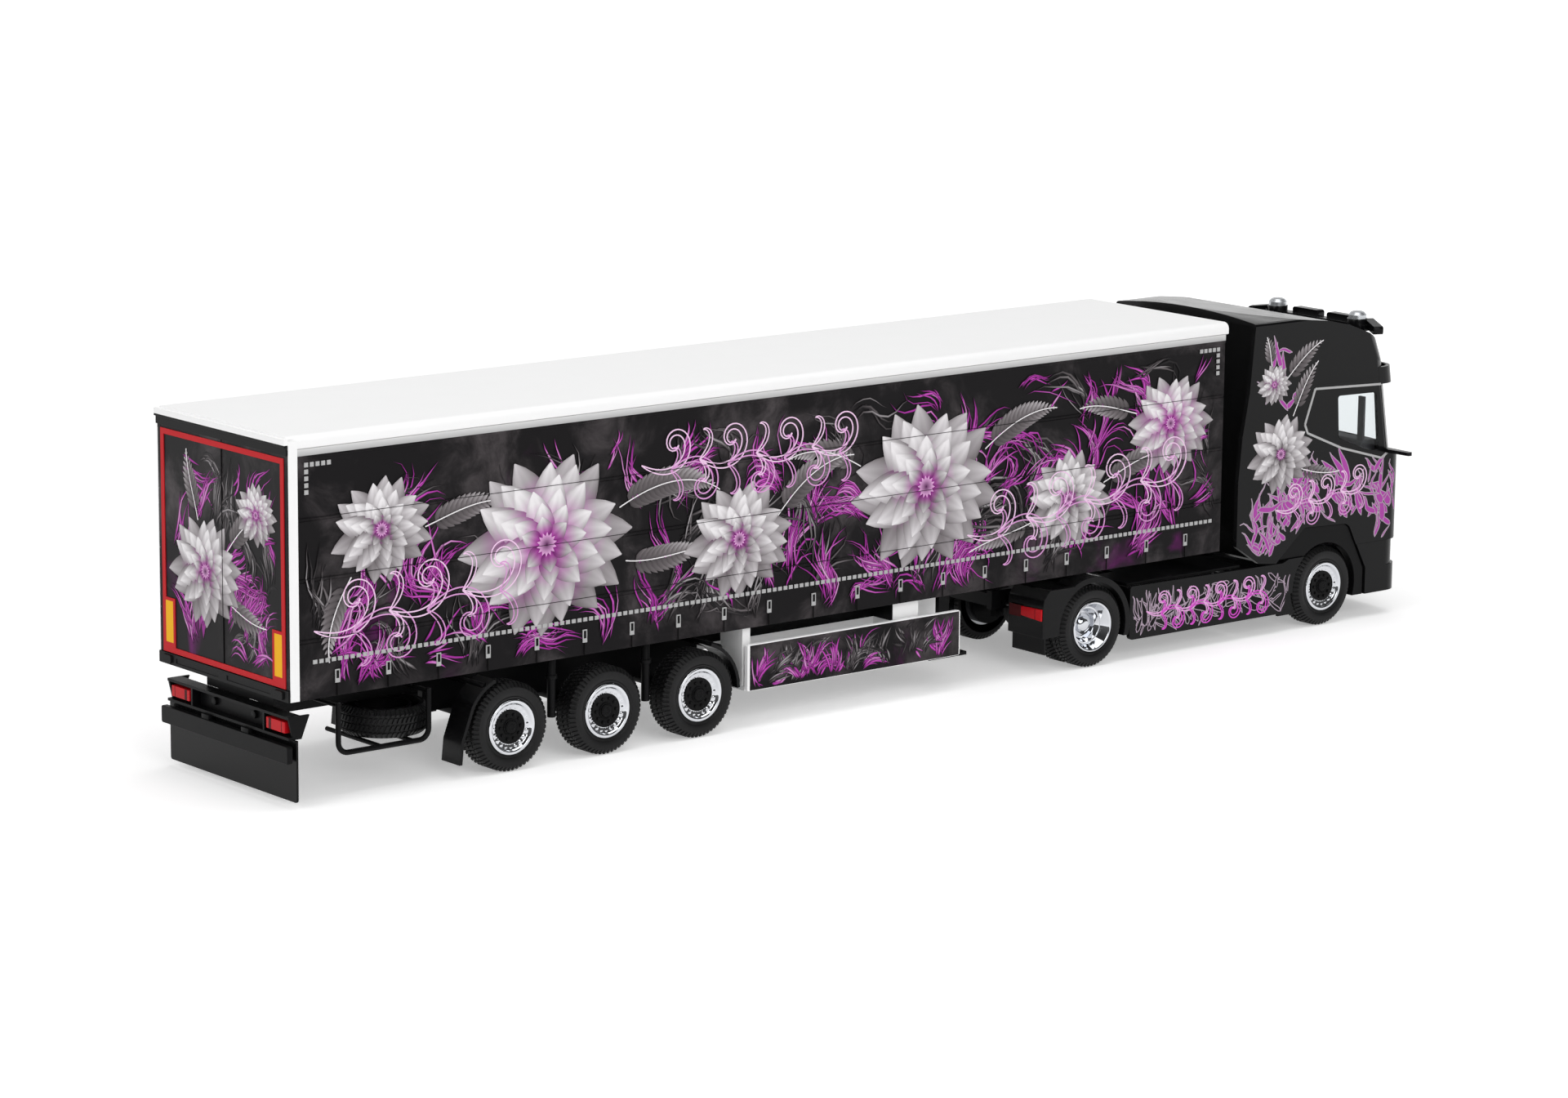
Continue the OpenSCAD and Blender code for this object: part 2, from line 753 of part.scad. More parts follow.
// Tractor frame: two rails with cross members, the axles' bearings and the drive axle's housing
frame_rear_x = drive_x - rear_overhang;
frame_front_x = nose_x - 1.7;
frame_t = 1;
housing_radius = 2.5;
housing_half = 3.2;
housing_flat = 1.2;
module tractor_frame() {
  inner = frame_offset - frame_t / 2;
  outer = frame_offset + frame_t / 2;
  cross_x = [
    frame_rear_x + 0.5, drive_x - 4, drive_x + 9, drive_x + 24, steer_x - 6, steer_x + 6, frame_front_x - 0.5
  ];
  color("#232425") difference() {
    union() {
      both_sides() {
        block([frame_rear_x, inner, frame_bottom], [frame_front_x, outer, frame_top]);
        for (x = [drive_x, steer_x])
          block([x - bracket_half, inner, axle_z - bracket_foot], [x + bracket_half, outer, frame_bottom]);
      }
      for (x = cross_x)
        block([x - 0.5, -frame_offset, frame_bottom + 0.4], [x + 0.5, frame_offset, frame_top - 0.4]);
      block([drive_x - 0.8, -frame_offset, axle_z + 1.4], [drive_x + 0.8, frame_offset, frame_top - 0.4]);
      translate([drive_x, 0, axle_z]) rotate([90, 0, 0]) rotate_extrude() polygon([
        [0, -housing_half],
        [housing_flat, -housing_half],
        [housing_radius, -housing_flat],
        [housing_radius, housing_flat],
        [housing_flat, housing_half],
        [0, housing_half]
      ]);
    }
    for (x = [drive_x, steer_x]) bearing_bore(x);
  }
}

// Deck behind the cab, with a wing beside each flank of the fifth wheel
deck_t = 0.4;
deck_inner = 6.2;
module deck_plate() {
  rear = drive_x + guard_radius + 0.2;
  half = tractor_half - skirt_t - 0.3;
  color("#2c2d2f") union() {
    block(
      [kingpin_x + plate_radius + 0.8, -half, frame_top],
      [steer_x - fin_back + 1.6, half, frame_top + deck_t]
    );
    both_sides() block(
      [rear, deck_inner, frame_top],
      [kingpin_x + plate_radius + 1, half, frame_top + deck_t]
    );
  }
}

// Fifth wheel: a round plate on two pedestals, with a notch that guides the kingpin in from behind
plate_radius = 5.2;
plate_t = 1;
notch_depth = 2.2;
notch_half = 2.6;
module fifth_wheel() {
  color("#2a2b2c") difference() {
    union() {
      rod_z(kingpin_x, 0, plate_radius, fifth_wheel_z - plate_t, fifth_wheel_z);
      both_sides() block(
        [kingpin_x - 2.6, frame_offset - frame_t / 2, frame_top],
        [kingpin_x + 2.6, frame_offset + frame_t / 2, fifth_wheel_z - plate_t / 2]
      );
    }
    rod_z(kingpin_x, 0, kingpin_radius + running_gap, frame_top, fifth_wheel_z + 1);
    translate([kingpin_x, 0, frame_top]) linear_extrude(fifth_wheel_z) polygon([
      [-plate_radius - 1, -notch_half],
      [-plate_radius + notch_depth, -0.5],
      [-plate_radius + notch_depth, 0.5],
      [-plate_radius - 1, notch_half]
    ]);
  }
}

// Cab outlines. The body reaches up to the belt, where a sloping shelf carries the raked windscreen
belt_z = 24.3;
belt_step = 1.75;
shelf_back = 4.1;
shelf_fall = 0.45;
brow_z = 38.4;
brow_rake = 22;
upper_low = 20;
screen_x = nose_x - belt_step;
brow_x = screen_x - (brow_z - belt_z) * tan(screen_rake);
// The roof overhangs the rear wall in a lip, which clears the trailer's corners as they swing past
lip_reach = 0.5;
lip_t = 0.4;
swing_radius = norm([kingpin_setback + roof_lip, box_half]);
rear_lip_x = kingpin_x + swing_radius + swing_gap;
rear_wall_x = rear_lip_x + lip_reach;
function body_side(t) = [
  [steer_x - fin_back, 0],
  [nose_x + 1, 0],
  [nose_x + 1, belt_z - t - (shelf_back + 1) * shelf_fall],
  [nose_x - shelf_back, belt_z - t],
  [steer_x, belt_z - t],
  [steer_x - 5, upper_low + 2],
  [steer_x - fin_back, upper_low + 2]
];
function upper_side(t) = [
  [steer_x - fin_back, upper_low, 0],
  [nose_x, upper_low, 0],
  [nose_x, cab_height - 0.84 * high_roof - t, 0],
  [steer_x + 7.7, cab_height - 0.385 * high_roof - t, 5],
  [steer_x + 3.6, cab_height - 0.245 * high_roof - t, 6],
  [steer_x - 0.9, cab_height - 0.153 * high_roof - t, 12],
  [rear_lip_x, cab_height - t, 0],
  [steer_x - 16.3, seam_height + 0.2, 0],
  [steer_x - 17.5, 29.3, 3],
  [steer_x - fin_back, 23, 3]
];
// From above: sides, rounded front corners and the bow of the front, drawn back from the front's middle.
// The plan stands a little clear of the cab's sides, which the outline from behind gives
plan_length = 50;
function cab_plan(t, clear) =
  let (
    half = cab_half + clear - t,
    r = corner_radius - t,
    bow = bow_radius - t,
    corner_y = half - r,
    lean = asin(corner_y / (bow - r)),
    corner_x = (bow - r) * cos(lean) - bow_radius
  )
  concat(
    [[-plan_length, -half]],
    arc([corner_x, -corner_y], r, -90, -lean, 6),
    arc([-bow_radius, 0], bow, -lean * 0.75, lean * 0.75, 6),
    arc([corner_x, corner_y], r, lean, 90, 6),
    [[-plan_length, half]]
  );
module raked_plan(t, x, z, rake, clear = 0) {
  translate([x, 0, z]) rotate([0, -rake, 0]) translate([0, 0, -plan_length])
    linear_extrude(2 * plan_length) polygon(cab_plan(t, clear));
}
// From behind: upright sides and a crowned roof with narrow edges
cab_crown = 0.9;
cab_edge = 0.5;
function cab_rear(t) =
  let (
    half = cab_half - t,
    crown_half = half - cab_edge,
    crown_radius = (crown_half * crown_half + cab_crown * cab_crown) / (2 * cab_crown),
    spread = asin(crown_half / crown_radius),
    mid = [0, cab_height - t - crown_radius],
    shoulder = cab_height - t - cab_crown - cab_edge * 0.75
  )
  concat(
    [[-half, 0], [half, 0], [half, shoulder], [half - cab_edge * 0.3, shoulder + cab_edge * 0.5]],
    arc(mid, crown_radius, 90 - spread, 90 + spread, 10),
    [[-half + cab_edge * 0.3, shoulder + cab_edge * 0.5], [-half, shoulder]]
  );
module cab_part(t, rows) {
  intersection() {
    side_prism(rows, -cab_half - 1, cab_half + 1);
    rear_prism(cab_rear(t), steer_x - fin_back - 1, nose_x + 1);
    children();
  }
}
module cab_solid(t) {
  union() {
    cab_part(t, body_side(t)) raked_plan(t, nose_x, 0, 0, 0.03);
    cab_part(t, outline(upper_side(t))) intersection() {
      raked_plan(t, screen_x, belt_z, screen_rake, 0.05);
      raked_plan(t, brow_x, brow_z, brow_rake, 0.08);
    }
  }
}
// The hollow inside the cab stops at its rear wall; the fins stand behind that wall, under the roof's lip
module cab_hollow() {
  intersection() {
    cab_solid(cab_wall);
    block([rear_wall_x + cab_wall, -cab_half, 0], [nose_x, cab_half, cab_height]);
  }
}
module behind_cab() {
  block(
    [steer_x - fin_back - 2, -cab_half + cab_wall, -1],
    [rear_wall_x, cab_half - cab_wall, cab_height - cab_crown - lip_t]
  );
}
// Openings in the cab: side windows, windscreen and grille
screen_half = 12;
screen_low = 25.4;
screen_high = seam_height - 1.7;
window_rear_top = seam_height - 2;
window_front_top = seam_height - 2.2;
grille_half = 9;
grille_low = 12.4;
grille_high = 21.8;
module side_windows() {
  side_prism(
    outline([
      [steer_x + 1.6, window_rear_top, 0.4],
      [steer_x + 2, 27.3, 0.6],
      [steer_x + 8, 25, 0.4],
      [steer_x + 10.4, 24.6, 0.4],
      [steer_x + 9.5, window_front_top, 0.4]
    ]),
    -cab_half - 1, cab_half + 1
  );
}
module windscreen() {
  rear_prism(
    outline([
      [-screen_half, screen_low, 0.6],
      [screen_half, screen_low, 0.6],
      [screen_half, screen_high, 0.6],
      [-screen_half, screen_high, 0.6]
    ]),
    steer_x + 10.8, nose_x + 1
  );
}
module grille_opening(gap) {
  block(
    [nose_x - 4, -grille_half + gap, grille_low + gap],
    [nose_x + 1, grille_half - gap, grille_high - gap]
  );
}
// Wheel arch, drawn over the steering axle from its rear foot to its front foot
arch_low_z = 10.7;
bumper_top = 11.2;
arch_rear = [-9.6, arch_low_z];
arch_top = [[-4.5, 14.9, 1.2], [4.6, 14.5, 1.6]];
arch_front = [8.2, 7.5];
function over_axle(row, inset) = [steer_x + row[0] - sign(row[0]) * inset, row[1] - inset, row[2]];
module cab_shell() {
  low_rows = [
    [steer_x - fin_back - 1, -1, 0],
    [steer_x - fin_back - 1, 14.3, 0],
    [steer_x - 13.5, arch_low_z, 1],
    [steer_x - 10, 10.3, 0],
    [steer_x + arch_rear[0], arch_low_z, 0],
    over_axle(arch_top[0], 0),
    over_axle(arch_top[1], 0),
    [steer_x + 6.3, bumper_top, 0],
    [nose_x + 1, bumper_top, 0],
    [nose_x + 1, -1, 0]
  ];
  color("#1b1b1d") difference() {
    cab_solid(0);
    cab_hollow();
    behind_cab();
    side_prism(outline(low_rows), -cab_half - 1, cab_half + 1);
    block([steer_x - fin_back - 2, -cab_half - 1, seam_height], [nose_x + 1, cab_half + 1, cab_height + 1]);
    side_windows();
    windscreen();
    grille_opening(0);
  }
}
module cab_roof() {
  color("#1b1b1d") difference() {
    cab_solid(0);
    cab_hollow();
    behind_cab();
    block([steer_x - fin_back - 2, -cab_half - 1, -1], [nose_x + 1, cab_half + 1, seam_height]);
  }
}
module cab_glazing() {
  color("#9fb0b8", 0.5) intersection() {
    difference() {
      cab_solid(0);
      cab_hollow();
    }
    union() {
      side_windows();
      windscreen();
    }
  }
}

// Interior: a floor on a tunnel, two seats, the dash with camera monitors and a steering wheel
interior_gap = 0.1;
interior_floor = 15.6;
tunnel_half = 9.4;
seat_y = 7;
seat_half = 3;
seat_x = 0.5;
seat_z = 20.6;
seat_top = 30;
dash_z = 26;
dash_inset = 1.2;
monitor_x = 8.9;
monitor_y = 11.2;
monitor_width = 1.1;
monitor_top = 32.4;
wheel_x = 7;
wheel_z = 24.8;
wheel_radius = 1.9;
module cab_interior() {
  half = cab_half - cab_wall - interior_gap;
  rear = rear_wall_x + cab_wall + interior_gap;
  front = nose_x - 5.7;
  color("#2b2c2e") union() {
    block([rear, -half, interior_floor], [front, half, interior_floor + 0.8]);
    block([rear + 1, -tunnel_half, frame_top], [front - 2, tunnel_half, interior_floor]);
    both_sides() {
      block(
        [steer_x + seat_x - 3, seat_y - seat_half, interior_floor],
        [steer_x + seat_x + 3.4, seat_y + seat_half, seat_z]
      );
      side_prism(
        outline([
          [steer_x + seat_x - 3, seat_z, 0],
          [steer_x + seat_x - 1.2, seat_z, 0],
          [steer_x + seat_x - 1.8, seat_top, 0.8],
          [steer_x + seat_x - 3.6, seat_top, 0.8]
        ]),
        seat_y - seat_half + 0.3, seat_y + seat_half - 0.3
      );
      block(
        [steer_x + monitor_x, monitor_y, dash_z - 1],
        [steer_x + monitor_x + 0.4, monitor_y + monitor_width, monitor_top]
      );
    }
    side_prism(
      outline([
        [steer_x + 8.2, interior_floor, 0],
        [front, interior_floor, 0],
        [front, dash_z, 0],
        [steer_x + 8.7, dash_z, 0.8],
        [steer_x + 7.6, dash_z - 2.6, 0.6]
      ]),
      -half + dash_inset, half - dash_inset
    );
    translate([steer_x + wheel_x, seat_y, wheel_z]) rotate([0, -62, 0]) {
      rotate_extrude() translate([wheel_radius, 0]) circle(r = 0.28);
      translate([0, 0, -2.4]) cylinder(r = 0.35, h = 2.5);
      translate([-wheel_radius, -0.3, -0.2]) cube([2 * wheel_radius, 0.6, 0.4]);
    }
  }
}

// Grille: a frame with cross slats, flush in the cab's front
slat_count = 5;
slat_height = 0.9;
grille_frame = 0.7;
module front_grille() {
  inner_half = grille_half - grille_frame;
  slat_pitch = (grille_high - grille_low - 2 * grille_frame) / slat_count;
  color("#1a1a1b") intersection() {
    difference() {
      cab_solid(0);
      cab_hollow();
    }
    difference() {
      grille_opening(push_gap);
      for (i = [0:slat_count - 1]) let (z = grille_low + grille_frame + (i + 0.5) * slat_pitch)
        block(
          [nose_x - 5, -inner_half, z - (slat_pitch - slat_height) / 2],
          [nose_x + 2, inner_half, z + (slat_pitch - slat_height) / 2]
        );
    }
  }
}

// Bumper: a lip along the lowest part of the front, corners set back above it, and a lamp in each corner
bumper_wall = 0.8;
bumper_bottom = 3.6;
bumper_lip_z = 7.5;
bumper_step = 0.55;
headlamp_inner = 8.6;
headlamp_outer = 13.2;
headlamp_low = 7.9;
headlamp_high = 10.6;
module bumper_skin() {
  rear_x = steer_x + arch_front[0] + 0.2;
  difference() {
    intersection() {
      side_prism(
        outline([
          [steer_x + 6.4, bumper_top, 0],
          [rear_x, arch_front[1], 0],
          [rear_x, bumper_bottom, 0],
          [nose_x, bumper_bottom, 1.2],
          [nose_x, bumper_top, 0]
        ]),
        -cab_half, cab_half
      );
      union() {
        raked_plan(0, nose_x - bumper_step, 0, 0);
        intersection() {
          raked_plan(0, nose_x, 0, 0);
          block([steer_x, -cab_half, 0], [nose_x + 1, cab_half, bumper_lip_z]);
        }
      }
    }
    intersection() {
      raked_plan(bumper_wall, nose_x - bumper_step, 0, 0);
      block([steer_x, -cab_half, bumper_bottom + bumper_wall], [nose_x, cab_half, bumper_top + 1]);
    }
  }
}
module headlamp_openings(gap) {
  both_sides() block(
    [nose_x - 7, headlamp_inner + gap, headlamp_low + gap],
    [nose_x + 1, headlamp_outer - gap, headlamp_high - gap]
  );
}
module front_bumper() {
  color("#1b1b1d") difference() {
    bumper_skin();
    headlamp_openings(0);
  }
}
module headlamps() {
  color("#dfe5e8") intersection() {
    bumper_skin();
    headlamp_openings(push_gap);
  }
}

// Sun visor: a band that bows ahead of the windscreen's upper edge and meets the cab's corners
visor_low = seam_height - 1.1;
visor_high = seam_height + 1.4;
visor_t = 0.5;
visor_ahead = 1.8;
visor_back = 9;
module sun_visor() {
  color("#19191a") difference() {
    intersection() {
      block([steer_x + visor_back, -cab_half, visor_low], [nose_x + 1, cab_half, visor_high]);
      difference() {
        raked_plan(0, screen_x + visor_ahead, belt_z, screen_rake);
        raked_plan(visor_t, screen_x + visor_ahead, belt_z, screen_rake);
      }
    }
    cab_solid(-push_gap);
  }
}

// Light bar: flat lamps, the outer two turned back, and beacon bases on a bar with feet on the roof
bar_z = cab_height - 0.405 * high_roof;
spot_width = 5.2;
spot_depth = 1.4;
spot_height = 1.2;
spot_edge = 0.4;
spot_y = 3.5;
spot_x = nose_x - 3.1 - spot_depth;
end_spot = [nose_x - 5.1, 10.9];
end_spot_turn = 28;
end_spot_droop = 7;
beacon_x = nose_x - 5.55;
beacon_y = 8.15;
beacon_radius = 1.5;
beacon_z = bar_z + 1.25;
foot_y = 4.5;
module spot() {
  rear_prism(outline([
    [-spot_width / 2, 0, spot_edge],
    [spot_width / 2, 0, spot_edge],
    [spot_width / 2, spot_height, spot_edge],
    [-spot_width / 2, spot_height, spot_edge]
  ]), 0, spot_depth);
}
module light_bar() {
  color("#161617") difference() {
    union() {
      both_sides() {
        translate([spot_x, spot_y, bar_z]) spot();
        translate([end_spot[0], end_spot[1], bar_z - 0.25]) rotate([-end_spot_droop, 0, end_spot_turn])
          translate([-spot_depth / 2, 0, 0]) spot();
        rod_z(beacon_x, beacon_y, beacon_radius, bar_z - 0.4, beacon_z);
        block([beacon_x - 1, foot_y, bar_z - 2.6], [beacon_x + 0.6, foot_y + 1.2, bar_z]);
      }
      block([beacon_x - 0.6, -beacon_y - 2, bar_z - 0.4], [spot_x + 0.2, beacon_y + 2, bar_z + 0.5]);
    }
    cab_solid(-push_gap);
  }
}
module beacons() {
  color("#c4c9cc") both_sides() translate([beacon_x, beacon_y, beacon_z]) rotate_extrude() polygon([
    [0, 0],
    [beacon_radius - 0.15, 0],
    [beacon_radius - 0.15, 0.55],
    [beacon_radius - 0.5, 0.95],
    [beacon_radius - 0.9, 1.1],
    [0, 1.15]
  ]);
}

// Camera arms: slim wings on the windscreen pillars
arm_t = 0.5;
camera_arm_z = 24.2;
camera_arm_x = nose_x - 4.6;
module camera_arms() {
  tip = cab_half + arm_reach;
  color("#202122") difference() {
    both_sides() translate([0, 0, camera_arm_z]) linear_extrude(arm_t) polygon(outline([
      [camera_arm_x - 0.8, cab_half - 2, 0],
      [camera_arm_x + 0.6, cab_half - 2, 0],
      [camera_arm_x + 0.5, tip, 0.35],
      [camera_arm_x - 0.4, tip, 0.35]
    ]));
    cab_solid(-push_gap);
  }
}

// Trims that fill the front wheel arches round the tyres
trim_gap = 0.06;
trim_back = 0.25;
trim_depth = 1.6;
trim_radius = 6.4;
module wheel_arch_trims() {
  front_x = steer_x + arch_front[0] - trim_gap;
  color("#171718") both_sides() difference() {
    side_prism(
      outline([
        [steer_x + arch_rear[0] + 2 * trim_gap, arch_low_z, 0],
        over_axle(arch_top[0], trim_gap),
        over_axle(arch_top[1], trim_gap),
        [front_x, arch_front[1], 0],
        [front_x, bumper_bottom, 0],
        [steer_x, bumper_bottom, 0],
        [steer_x, arch_low_z, 0]
      ]),
      cab_half - trim_depth, cab_half - trim_back
    );
    rod_y(steer_x, axle_z, trim_radius, 0, cab_half + 1);
  }
}

// Side skirts between the axles, cut round the steering wheel, with an end wall, a flap and stays
skirt_top = 10.5;
skirt_wheel_gap = 0.75;
skirt_flap = 8;
skirt_flap_top = 5.6;
skirt_flap_low = 2.4;
end_wall_inner = 7;
module side_skirts() {
  rear = drive_x + guard_radius + 0.1;
  outer = tractor_half - 0.05;
  inner = outer - skirt_t;
  stay_x = [rear + 8, rear + 24];
  color("#1b1b1d") both_sides() {
    difference() {
      union() {
        side_prism(
          outline([
            [rear, skirt_bottom, 0.6],
            [steer_x - skirt_flap, skirt_bottom, 0],
            [steer_x - skirt_flap, skirt_flap_top, 0],
            [steer_x - 4, skirt_flap_top, 0],
            [steer_x - 4, arch_low_z - 0.05, 0],
            [steer_x + arch_rear[0] + 2.2, arch_low_z - 0.05, 0],
            [steer_x - 8.6, skirt_top - 0.3, 0],
            [rear, skirt_top, 0.5]
          ]),
          inner, outer
        );
        block(
          [steer_x - skirt_flap - 1, inner - 0.2, skirt_flap_low],
          [steer_x - 4, inner + 0.2, skirt_flap_top + 1]
        );
        block([rear, end_wall_inner, skirt_bottom + 1], [rear + 0.5, inner, frame_top - 0.1]);
      }
      rod_y(steer_x, axle_z, tyre_radius + skirt_wheel_gap, 0, tractor_half + 1);
    }
    for (x = stay_x) rod_y(x, frame_top - 1.4, 0.5, frame_offset + frame_t / 2, outer - skirt_t / 2);
  }
}

// Rear mudguards: an arch over the twin tyres that runs back into a lamp carrier, with a flap below
guard_gap = 0.45;
guard_t = 0.9;
guard_radius = tyre_radius + guard_gap + guard_t;
guard_inner = drive_face - drive_width - 0.3;
guard_rear = 9.4;
guard_low = 5.2;
guard_front_low = 3.75;
guard_flap_low = 2.9;
module rear_mudguards() {
  rear = drive_x - guard_rear;
  color("#1a1a1b") both_sides() {
    difference() {
      union() {
        rod_y(drive_x, axle_z, guard_radius, guard_inner, drive_face);
        side_prism(
          outline([
            [rear, guard_low, 0],
            [drive_x, guard_low, 0],
            [drive_x, axle_z + guard_radius - 1, 0],
            [rear + 1.3, 11.9, 0.5],
            [rear + 0.2, 10.6, 0.5],
            [rear, 9.5, 0]
          ]),
          guard_inner, drive_face
        );
      }
      rod_y(drive_x, axle_z, tyre_radius + guard_gap, guard_inner - 1, drive_face + 1);
      side_prism(
        [
          [rear - 1, -5],
          [drive_x + guard_radius + 1, -5],
          [drive_x + guard_radius + 1, guard_front_low],
          [drive_x, guard_front_low],
          [drive_x, guard_low],
          [rear - 1, guard_low]
        ],
        0, drive_face + 1
      );
    }
    block([rear + 0.3, guard_inner + 0.6, guard_flap_low], [rear + 0.6, drive_face, guard_low]);
    rod_y(rear + 1.4, frame_bottom + 1, 0.5, frame_offset + frame_t / 2, guard_inner);
  }
}
lens_t = 0.3;
module tractor_tail_lamps() {
  rear = drive_x - guard_rear;
  color("#b3161b") both_sides() rear_prism(
    [
      [guard_inner + 0.6, 8.1],
      [drive_face - 0.1, 7.7],
      [drive_face - 0.1, 9.35],
      [guard_inner + 0.6, 9.15]
    ],
    rear - lens_t, rear
  );
}

trailer_frame();
trailer_floor();
coupling_plate();
front_wall();
curtain_left();
curtain_right();
trailer_roof();
rear_frame();
rear_doors();
rear_bumper();
trailer_tail_lamps();
underrun_bar();
rear_mudflap();
spare_carrier();
spare_tyre();
spare_rim();
trailer_fenders();
pallet_boxes();
landing_legs();
trailer_axle(1);  // trailer_axle_1
trailer_rims(1);  // trailer_rims_1
trailer_tyres(1);  // trailer_tyres_1
trailer_axle(2);  // trailer_axle_2
trailer_rims(2);  // trailer_rims_2
trailer_tyres(2);  // trailer_tyres_2
trailer_axle(3);  // trailer_axle_3
trailer_rims(3);  // trailer_rims_3
trailer_tyres(3);  // trailer_tyres_3
tractor_frame();
deck_plate();
fifth_wheel();
cab_shell();
cab_roof();
cab_glazing();
cab_interior();
front_grille();
front_bumper();
headlamps();
sun_visor();
light_bar();
beacons();
camera_arms();
wheel_arch_trims();
side_skirts();
rear_mudguards();
tractor_tail_lamps();
steer_axle();
steer_rims();
steer_tyres();
drive_axle();
drive_rims();
drive_tyres();
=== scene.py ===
"""Looks of a 1:87 scale model of an articulated lorry with a curtain-side trailer.

Lengths are written in millimetres, as on the model, and mm() turns them into metres.
+X points forward, +Y to the left and +Z up, as in the frame. Places along the lorry are
measured from the rear face of the trailer's box, and TAIL is where that face lies in the frame.
"""

import json
import math
import random

import bmesh
import bpy
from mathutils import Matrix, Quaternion, Vector, noise
from mathutils.bvhtree import BVHTree


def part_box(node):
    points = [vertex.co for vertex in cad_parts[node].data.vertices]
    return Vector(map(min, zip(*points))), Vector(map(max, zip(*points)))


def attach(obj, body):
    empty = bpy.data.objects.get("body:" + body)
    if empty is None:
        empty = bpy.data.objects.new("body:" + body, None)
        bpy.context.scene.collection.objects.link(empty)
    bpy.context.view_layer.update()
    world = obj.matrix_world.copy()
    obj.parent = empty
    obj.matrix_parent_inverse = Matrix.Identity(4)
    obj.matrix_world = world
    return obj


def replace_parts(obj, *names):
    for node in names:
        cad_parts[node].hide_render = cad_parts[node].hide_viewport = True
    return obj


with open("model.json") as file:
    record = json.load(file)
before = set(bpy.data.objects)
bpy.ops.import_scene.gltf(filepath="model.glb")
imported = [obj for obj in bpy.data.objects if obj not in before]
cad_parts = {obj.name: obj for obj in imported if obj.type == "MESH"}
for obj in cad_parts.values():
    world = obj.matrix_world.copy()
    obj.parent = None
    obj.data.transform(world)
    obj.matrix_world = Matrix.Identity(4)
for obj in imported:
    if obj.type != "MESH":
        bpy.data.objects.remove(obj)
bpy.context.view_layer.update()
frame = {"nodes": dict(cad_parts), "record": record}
nodes = frame["nodes"]
bodies = frame["record"]["behaviour"]["bodies"]
body_of_node = {node: body for body, members in bodies.items() for node in members}
slot_of_node = {part["node"]: part["material_slot"] for part in frame["record"]["subparts"]}


def mm(value):
    return value / 1000


def box_mm(node):
    """Lowest and highest corner of a node, in millimetres."""
    low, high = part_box(node)
    return low * 1000, high * 1000


TAIL = box_mm("curtain_right")[0][0]
BOX_HALF = box_mm("curtain_left")[1][1]
BOX_LENGTH = box_mm("curtain_right")[1][0] - TAIL
CURTAIN_LOW = box_mm("curtain_right")[0][2]


# Materials


def linear(hex_colour):
    """Turns an sRGB hex colour into linear red, green and blue with full alpha."""
    channels = [int(hex_colour[i : i + 2], 16) / 255 for i in (1, 3, 5)]
    return [c / 12.92 if c <= 0.04045 else ((c + 0.055) / 1.055) ** 2.4 for c in channels] + [1.0]


def add(tree, kind, sockets=None, **settings):
    """Adds a shader node: settings are its properties, and sockets its input values or what feeds them."""
    node = tree.nodes.new("ShaderNode" + kind)
    for key, value in settings.items():
        setattr(node, key, value)
    for key, value in (sockets or {}).items():
        if isinstance(value, bpy.types.NodeSocket):
            tree.links.new(value, node.inputs[key])
        else:
            node.inputs[key].default_value = value
    return node.outputs


def finish(name, colour, roughness, **sockets):
    """Starts a material, and returns it, its node tree and its shader with the constant sockets set."""
    material = bpy.data.materials.new(name)
    material.use_nodes = True
    tree = material.node_tree
    shader = tree.nodes["Principled BSDF"]
    shader.inputs["Base Color"].default_value = linear(colour)
    shader.inputs["Roughness"].default_value = roughness
    for key, value in sockets.items():
        shader.inputs[key.replace("_", " ")].default_value = value
    return material, tree, shader


# Size of the soft blotches in moulded plastic, about the width of a flow front on a part this small
BLOTCH_MM = 4.0


def moulded_surface(tree, shader, colours, roughness, grain_mm, depth_mm):
    """Gives a moulded skin: colour and gloss drift in soft blotches, over a fine grain from the tool."""
    place = add(tree, "TexCoord")["Object"]
    blotch = add(tree, "TexNoise", {"Vector": place, "Scale": 1000 / BLOTCH_MM, "Detail": 3.0})[0]
    if colours:
        shades = {0: blotch, 6: linear(colours[0]), 7: linear(colours[1])}
        colour = add(tree, "Mix", shades, data_type="RGBA")[2]
        tree.links.new(colour, shader.inputs["Base Color"])
    gloss = add(tree, "MapRange", {"Value": blotch, "To Min": roughness[0], "To Max": roughness[1]})[0]
    tree.links.new(gloss, shader.inputs["Roughness"])
    grain = add(tree, "TexNoise", {"Vector": place, "Scale": 1000 / grain_mm, "Detail": 2.0})[0]
    bump = add(tree, "Bump", {"Height": grain, "Distance": mm(depth_mm), "Strength": 0.6})[0]
    tree.links.new(bump, shader.inputs["Normal"])


def moulded(name, colours, roughness, grain_mm, depth_mm, specular=0.5, **sockets):
    """A plastic with the skin that its mould gave it."""
    material, tree, shader = finish(name, colours[0], roughness[0], Specular_IOR_Level=specular, **sockets)
    moulded_surface(tree, shader, colours, roughness, grain_mm, depth_mm)
    return material


